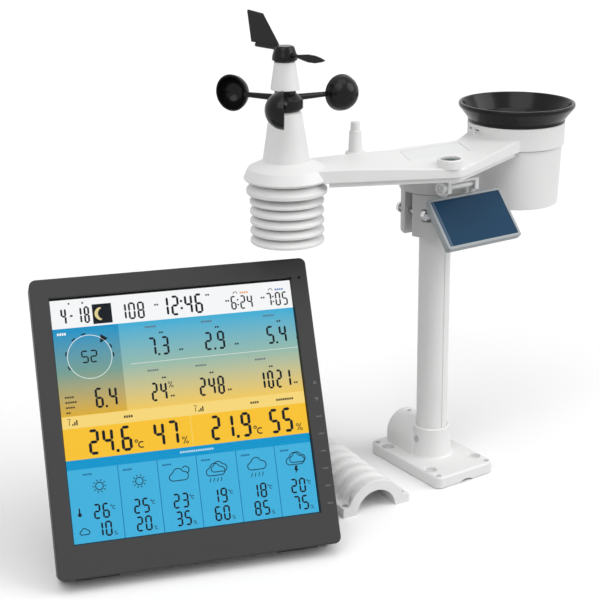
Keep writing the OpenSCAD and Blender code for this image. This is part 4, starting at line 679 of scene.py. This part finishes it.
def patch(points, *colours):
    """Flat patch on the current sheet of the picture, in one colour or with a colour for each corner."""
    depth = -4.19 + 0.02 * sheet
    face = canvas.faces.new([canvas.verts.new((screen_x0 + x, screen_y0 + y, depth)) for x, y in points])
    for i, loop in enumerate(face.loops):
        loop[tone] = colours[i % len(colours)]


def band(x0, y0, x1, y1, low, high=None):
    """Rectangle, graded from its lower to its upper colour."""
    high = high or low
    patch([(x0, y0), (x1, y0), (x1, y1), (x0, y1)], low, low, high, high)


def stroke(points, thick, colour=ink):
    """Line of one thickness along points."""
    ways = [(Vector(q) - Vector(p)).normalized().orthogonal() for p, q in zip(points, points[1:])]
    sides = [ways[0]] + [(a + b).normalized() for a, b in zip(ways, ways[1:])] + [ways[-1]]
    edge = [(Vector(p) + n * thick / 2, Vector(p) - n * thick / 2) for p, n in zip(points, sides)]
    for (a, b), (c, d) in zip(edge, edge[1:]):
        patch([tuple(v) for v in (a, b, d, c)], colour)


def caption(x, y, length, colour=ink, tall=1.3):
    """Row of small dashes in place of a word."""
    pitch, dash = 1.7, 1.2
    for k in range(int(length / pitch)):
        band(x + pitch * k, y, x + pitch * k + dash, y + tall, colour)


def figures(text, x, y, tall, wide, bold):
    """Row of seven-bar figures that starts at x."""
    bars = {"0": "abcdef", "1": "bc", "2": "abged", "3": "abgcd", "4": "fgbc", "5": "afgcd", "6": "afgedc",
            "7": "abc", "8": "abcdefg", "9": "abcdfg", "-": "g"}
    h = bold / 2
    left, right, foot, middle, top = h, wide - h, h, tall / 2, tall - h
    ends = {"a": (left, top, right, top), "g": (left, middle, right, middle), "d": (left, foot, right, foot),
            "f": (left, middle, left, top), "b": (right, middle, right, top),
            "e": (left, foot, left, middle), "c": (right, foot, right, middle)}
    for mark in text:
        if mark in ".:":
            x -= bold * 0.5
            for rise in ((0,) if mark == "." else (0.28, 0.64)):
                band(x, y + tall * rise, x + bold, y + tall * rise + bold, ink)
            x += bold * 1.9
            continue
        for bar in bars[mark]:
            p, q = Vector(ends[bar][:2]), Vector(ends[bar][2:])
            along = (q - p).normalized() * h
            side = along.orthogonal()
            outline = [p + along * 0.15, p + along * 1.1 + side, q - along * 1.1 + side, q - along * 0.15,
                       q - along * 1.1 - side, p + along * 1.1 - side]
            patch([(x + v.x, y + v.y) for v in outline], ink)
        x += wide + bold * 1.1


def degrees(x, y, tall):
    """Sign for degrees: a small ring and an open one."""
    stroke(arc(x, y + tall, tall * 0.16, 0, 360), tall * 0.12)
    stroke(arc(x + tall * 0.62, y + tall * 0.5, tall * 0.36, 50, 310), tall * 0.16)


def share(x, y, tall):
    """Sign for hundredths: two small rings and a stroke."""
    stroke([(x, y), (x + tall * 0.55, y + tall)], tall * 0.13)
    stroke(arc(x + tall * 0.02, y + tall * 0.82, tall * 0.15, 0, 360), tall * 0.1)
    stroke(arc(x + tall * 0.54, y + tall * 0.18, tall * 0.15, 0, 360), tall * 0.1)


def sun(x, y):
    """Ring with ten rays."""
    stroke(arc(x, y, 2.7, 0, 360), 0.65)
    for k in range(10):
        u = Vector((math.cos(k * math.pi / 5), math.sin(k * math.pi / 5)))
        stroke([(x + u.x * 3.7, y + u.y * 3.7), (x + u.x * 5.0, y + u.y * 5.0)], 0.7)


def cloud(x, y, s=1.0):
    """Outline of a cloud with a flat foot."""
    puffs = arc(x - 4.2 * s, y, 2.7 * s, 270, 110) + arc(x - 0.3 * s, y + 2.6 * s, 3.7 * s, 165, 20)
    puffs += arc(x + 4.1 * s, y + 0.4 * s, 3.1 * s, 75, -90)
    stroke(puffs + [(x - 4.2 * s, y - 2.7 * s)], 0.65)


# heights of the bands, from the forecast at the foot to the date row at the top
forecast_top, amber_low, amber_high, readings_low, readings_mid, date_low = 53, 60, 83, 92, 126, 157
wind_w, wind_mid = 48, 124
border = 2.3
band(-border, -border, picture_w + border, picture_h + border, shown(8, 9, 10))
sheet = 1
dusk, day, sand = shown(150, 190, 178), shown(62, 178, 220), shown(246, 206, 96)
deep_dusk, deep_day, deep_sand = shown(120, 162, 150), shown(0, 150, 205), shown(226, 178, 52)
band(0, date_low, picture_w, picture_h, paper)
band(wind_w, readings_mid, picture_w, date_low, dusk, day)
band(wind_w, readings_low, picture_w, readings_mid, sand, dusk)
band(0, wind_mid, wind_w, date_low, deep_dusk, deep_day)
band(0, readings_low, wind_w, wind_mid, deep_sand, deep_dusk)
band(0, amber_high, picture_w, readings_low, shown(253, 220, 124))
band(0, amber_low, picture_w, amber_high, shown(254, 199, 50))
band(0, forecast_top, picture_w, amber_low, shown(0, 152, 208))
band(0, 0, picture_w, forecast_top, shown(66, 180, 226))
sheet = 2
for x in (36.5, 65.3, 94.3, 124.2, 153.7):
    band(x - 0.3, 0, x + 0.3, forecast_top, shown(22, 122, 176))
band(54, readings_mid - 0.2, picture_w, readings_mid + 0.2, shown(226, 234, 226))
# Dark strip along the top of the picture: painted shadow cast by the opening's upper rim.
band(0, picture_h - 1.2, picture_w, picture_h, shown(14, 15, 16))
band(93.4, amber_low, 93.7, readings_low, shown(255, 226, 140))

# top row: date, moon, day of the year, clock and the times of sunrise and sunset
date_foot, moon_x, moon_y = 159.4, 36.7, 165.8
figures("4-18", 7, date_foot + 0.2, 12.8, 4.1, 1.4)
band(30.2, 158.4, 44.4, 173.2, ink)
sheet = 3
crescent = arc(moon_x, moon_y, 5.0, 100, 260) + arc(moon_x + 1.9, moon_y, 4.4, 250, 110)
patch(crescent, shown(228, 214, 150))
figures("108", 50, date_foot, 12.8, 5.2, 1.4)
figures("12:46", 81, date_foot - 0.2, 15.2, 6.0, 1.7)
for x, text, colour in ((134.5, "6:24", shown(236, 150, 40)), (162, "7:05", shown(60, 110, 190))):
    figures(text, x, date_foot, 10.6, 4.2, 1.15)
    stroke(arc(x + 4, 171.6, 1.5, 0, 180), 0.5)
    caption(x + 7.6, 171.4, 8, colour)
date_captions = ((13, 174.6, 2), (23, 174.4, 2), (76.4, 168, 3.6), (115.6, 172, 5), (130.4, 166, 3.4),
                 (158, 166, 3.4))
for x, y, length in date_captions:
    caption(x, y, length)

# wind panel and the two rows of readings beside it
dial_x, dial_y = 25, 134.5
stroke(arc(dial_x, dial_y, 16.2, 0, 360), 0.5, shown(224, 240, 240))
for heading in (0, 22, 100, 128, 168, 205):
    stroke(arc(dial_x, dial_y, 17.4, heading - 5, heading + 5), 1.0)
patch([(39.6, 146.9), (34.4, 150.6), (33.4, 144.0)], ink)
figures("52", 18.8, 130, 9.4, 5.3, 1.1)
figures("6.4", 25.7, 96, 15, 5.9, 1.7)
for k, length in enumerate((5, 7, 10, 7)):
    caption(4, 94 + 3.8 * k, length)
caption(3, 152, 8, paper, 1.8)
upper_row = (130.4, 21.4, ((68.6, 5.7, "7.3"), (111, 5.7, "2.9"), (159, 5.7, "5.4")))
lower_row = (96.4, 22.6, ((67, 5.0, "24"), (103, 5.2, "248"), (148.6, 4.9, "1021")))
for y, rise, readings in (upper_row, lower_row):
    for x, wide, text in readings:
        figures(text, x, y, 14, wide, 1.6)
        caption(x - 1, y + rise, 10, shown(96, 110, 122))
        caption(x + 9, y + 16.4, 5)
        caption(x + len(text) * (wide + 1.6) + 0.8, y + 2.2, 4)
share(80.6, 105.6, 4.4)

# outdoor and indoor readings on amber, with signal bars and captions on the paler strip above
for x in (4, 97):
    stroke([(x, 90), (x + 2.4, 90), (x + 1.2, 88.2), (x + 1.2, 85.4)], 0.5)
    for k in range(3):
        band(x + 3.2 + 1.5 * k, 85.2, x + 4.2 + 1.5 * k, 86.4 + 1.3 * k, ink)
for x, length, tall in ((45, 7, 1.8), (140, 8, 1.6), (160, 14, 1.6)):
    caption(x, 86.6, length, ink, tall)
for x, text, wide in ((17.5, "24.6", 7.9), (65.4, "47", 7.9), (108, "21.9", 7.5), (153, "55", 7.6)):
    figures(text, x, 62.4, 18.6, wide, 2.2)
degrees(52, 63, 5.8)
degrees(141.4, 63, 5.8)
share(86.6, 62.8, 5.2)
share(173.8, 62.8, 5.2)

# forecast: six days with a drawing, a temperature and a chance of rain
caption(83, 56, 26, shown(190, 226, 242), 1.4)
days = ((22, "26", "10"), (51, "25", "20"), (80, "23", "35"), (109, "19", "60"), (139, "18", "85"),
        (169, "20", "75"))
for x, warm, wet in days:
    caption(x - 11, 48.2, 8, shown(24, 100, 150))
    figures(warm, x - 6, 16, 11, 5.0, 1.3)
    figures(wet, x - 5.4, 3, 11, 5.0, 1.3)
    degrees(x + 7, 21.6, 3.0)
    share(x + 7.6, 3.2, 2.8)
sun(22, 39.5)
sun(51, 39.5)
stroke(arc(85.6, 43.6, 2.6, -60, 150), 0.65)
for x, y, s in ((80, 39, 1), (110.4, 41.5, 0.85), (107.6, 39.4, 1), (139, 40, 1), (170.5, 41.4, 0.85),
                (168.6, 40.2, 1)):
    cloud(x, y, s)
for x in (103.6, 106.4, 109.2, 112, 135, 137.8, 140.6, 143.4):
    stroke([(x, 35), (x - 1, 32)], 0.55)
lightning = [(168.2, 36.6), (170.2, 36.6), (169.2, 34.2), (170.6, 34.2), (167.6, 30.4), (168.4, 33.2),
             (167.2, 33.2)]
patch(lightning, ink)
stroke([(6, 21.6), (6, 25.2)], 1.0)
patch(arc(6, 20.4, 1.4, 0, 348), ink)
cloud(8.2, 7.4, 0.5)

lit = bpy.data.materials.new("display")
lit.use_nodes = True
nodes, links = lit.node_tree.nodes, lit.node_tree.links
painted = nodes.new("ShaderNodeAttribute")
painted.attribute_name = "tone"
shader = nodes["Principled BSDF"]
shader.inputs["Base Color"].default_value = (0.002, 0.002, 0.002, 1)
shader.inputs["Specular IOR Level"].default_value = 0.05
shader.inputs["Roughness"].default_value = 0.6
shader.inputs["Emission Strength"].default_value = 1.06
links.new(painted.outputs["Color"], shader.inputs["Emission Color"])
picture = on_console(canvas)
picture.transform(Matrix.Scale(0.001, 4))
mesh = bpy.data.meshes.new("screen_picture")
picture.to_mesh(mesh)
picture.free()
mesh.materials.append(lit)
screen_picture = bpy.data.objects.new("screen_picture", mesh)
bpy.context.scene.collection.objects.link(screen_picture)
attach(screen_picture, "console")
dress(moulded("display_back", (0.02, 0.02, 0.022), 0.5, 0.1, 0.1), "console_display")

clear = moulded("clear_window", (0.02, 0.022, 0.024), 0.12, 0.02, 0.0)
clear.node_tree.nodes["Principled BSDF"].inputs["Alpha"].default_value = 0.06
overlap = 2.4
window = box_outline(screen_x0 - overlap, screen_y0 - overlap, screen_x1 + overlap, screen_y1 + overlap)
piece("screen_window", on_console(prism(window, -4.1, -2.65)), clear, "console", "console_window")

# Marks on the bezel
# Printed grey signs beside the keys on the right: an upward and a downward triangle, then plain bars. A
# small black indicator lens sits in the upper right corner.

marks = []
for i, y in enumerate(key_rows):
    if i < 2:
        up = 1 if i == 0 else -1
        sign = [(98, y - 1.4 * up), (101.4, y - 1.4 * up), (99.7, y + 1.5 * up)]
    else:
        sign = box_outline(97.6, y - 0.5, 101.8, y + 0.5, 0.3)
    marks.append(prism(sign, -0.2, 0.02))
printed = moulded("printed_grey", (0.09, 0.09, 0.092), 0.6, 0.02, 0.0)
piece("bezel_signs", on_console(together(*marks)), printed, "console")
lens = move(lathe([(0, -0.2), (1.3, -0.2), (1.3, 0.03), (0, 0.12)], 24), 98, 204)
piece("indicator", on_console(lens), black, "console")

# Plain white ground, soft studio light and camera
# A white sweep under three broad lamps and a pale dome, in metres. The view is the photograph's own: a long
# lens, a little to the wind column's side and above the head.

ground_half = 6
grey_ground, white_ground = (0.58, 0.58, 0.58, 1), (1, 1, 1, 1)
dome_low, dome_high = 0.25, 0.46
lamp_spread = 45
lamps = (("side", -44, 30, 0.46), ("top", -90, 80, 0.19), ("front", 216, 46, 0.34))


def in_sight(nodes, links):
    """One for what the camera sees straight, mirrored or through glass, nought for light on the object."""
    path = nodes.new("ShaderNodeLightPath")
    total = path.outputs["Is Camera Ray"]
    for kind in ("Is Glossy Ray", "Is Transmission Ray"):
        plus = nodes.new("ShaderNodeMath")
        plus.operation, plus.use_clamp = "ADD", True
        links.new(total, plus.inputs[0])
        links.new(path.outputs[kind], plus.inputs[1])
        total = plus.outputs["Value"]
    return total


def by_sight(tree, lighting, looking, out):
    """Lets one shader light the object and another show in the picture."""
    pick = tree.nodes.new("ShaderNodeMixShader")
    tree.links.new(in_sight(tree.nodes, tree.links), pick.inputs["Fac"])
    tree.links.new(lighting.outputs[0], pick.inputs[1])
    tree.links.new(looking.outputs[0], pick.inputs[2])
    tree.links.new(pick.outputs["Shader"], tree.nodes[out].inputs["Surface"])


floor = bmesh.new()
bmesh.ops.create_grid(floor, x_segments=1, y_segments=1, size=ground_half)
floor_mesh = bpy.data.meshes.new("ground")
floor.to_mesh(floor_mesh)
floor.free()
ground = bpy.data.objects.new("ground", floor_mesh)
bpy.context.scene.collection.objects.link(ground)
paint = bpy.data.materials.new("ground_paint")
paint.use_nodes = True
dull = paint.node_tree.nodes["Principled BSDF"]
dull.inputs["Base Color"].default_value = grey_ground
dull.inputs["Roughness"].default_value = 0.9
bright = paint.node_tree.nodes.new("ShaderNodeBsdfDiffuse")
bright.inputs["Color"].default_value = white_ground
by_sight(paint.node_tree, dull, bright, "Material Output")
floor_mesh.materials.append(paint)

world = bpy.data.worlds.new("studio")
bpy.context.scene.world = world
world.use_nodes = True
nodes, links = world.node_tree.nodes, world.node_tree.links
soft = nodes["Background"]
soft.inputs["Color"].default_value = white_ground
sky = nodes.new("ShaderNodeSeparateXYZ")
links.new(nodes.new("ShaderNodeTexCoord").outputs["Generated"], sky.inputs["Vector"])
dome = nodes.new("ShaderNodeMapRange")
dome.inputs["To Min"].default_value, dome.inputs["To Max"].default_value = dome_low, dome_high
links.new(sky.outputs["Z"], dome.inputs["Value"])
links.new(dome.outputs["Result"], soft.inputs["Strength"])
seen = nodes.new("ShaderNodeBackground")
seen.inputs["Color"].default_value = white_ground
seen.inputs["Strength"].default_value = 1.0
by_sight(world.node_tree, soft, seen, "World Output")

for name, heading, height, level in lamps:
    lamp = bpy.data.lights.new(name, "SUN")
    lamp.energy, lamp.angle = level * math.pi, math.radians(lamp_spread)
    light = bpy.data.objects.new(name, lamp)
    a, e = math.radians(heading), math.radians(height)
    towards = Vector((math.cos(a) * math.cos(e), math.sin(a) * math.cos(e), math.sin(e)))
    light.rotation_euler = towards.to_track_quat("Z", "Y").to_euler()
    bpy.context.scene.collection.objects.link(light)

camera = bpy.data.cameras.new("camera")
camera.lens, camera.sensor_width = 84.46, 36
camera.shift_x = -0.092
view = bpy.data.objects.new("camera", camera)
eye_place = Matrix.Translation((-0.7033, -0.8645, 0.5200))
right, upward, back = (0.8115, -0.5844, 0), (0.1853, 0.2573, 0.9484), (-0.5543, -0.7696, 0.3171)
view.matrix_world = eye_place @ Matrix((right, upward, back)).transposed().to_4x4()
bpy.context.scene.collection.objects.link(view)
bpy.context.scene.camera = view
bpy.context.scene.view_settings.view_transform = "Standard"
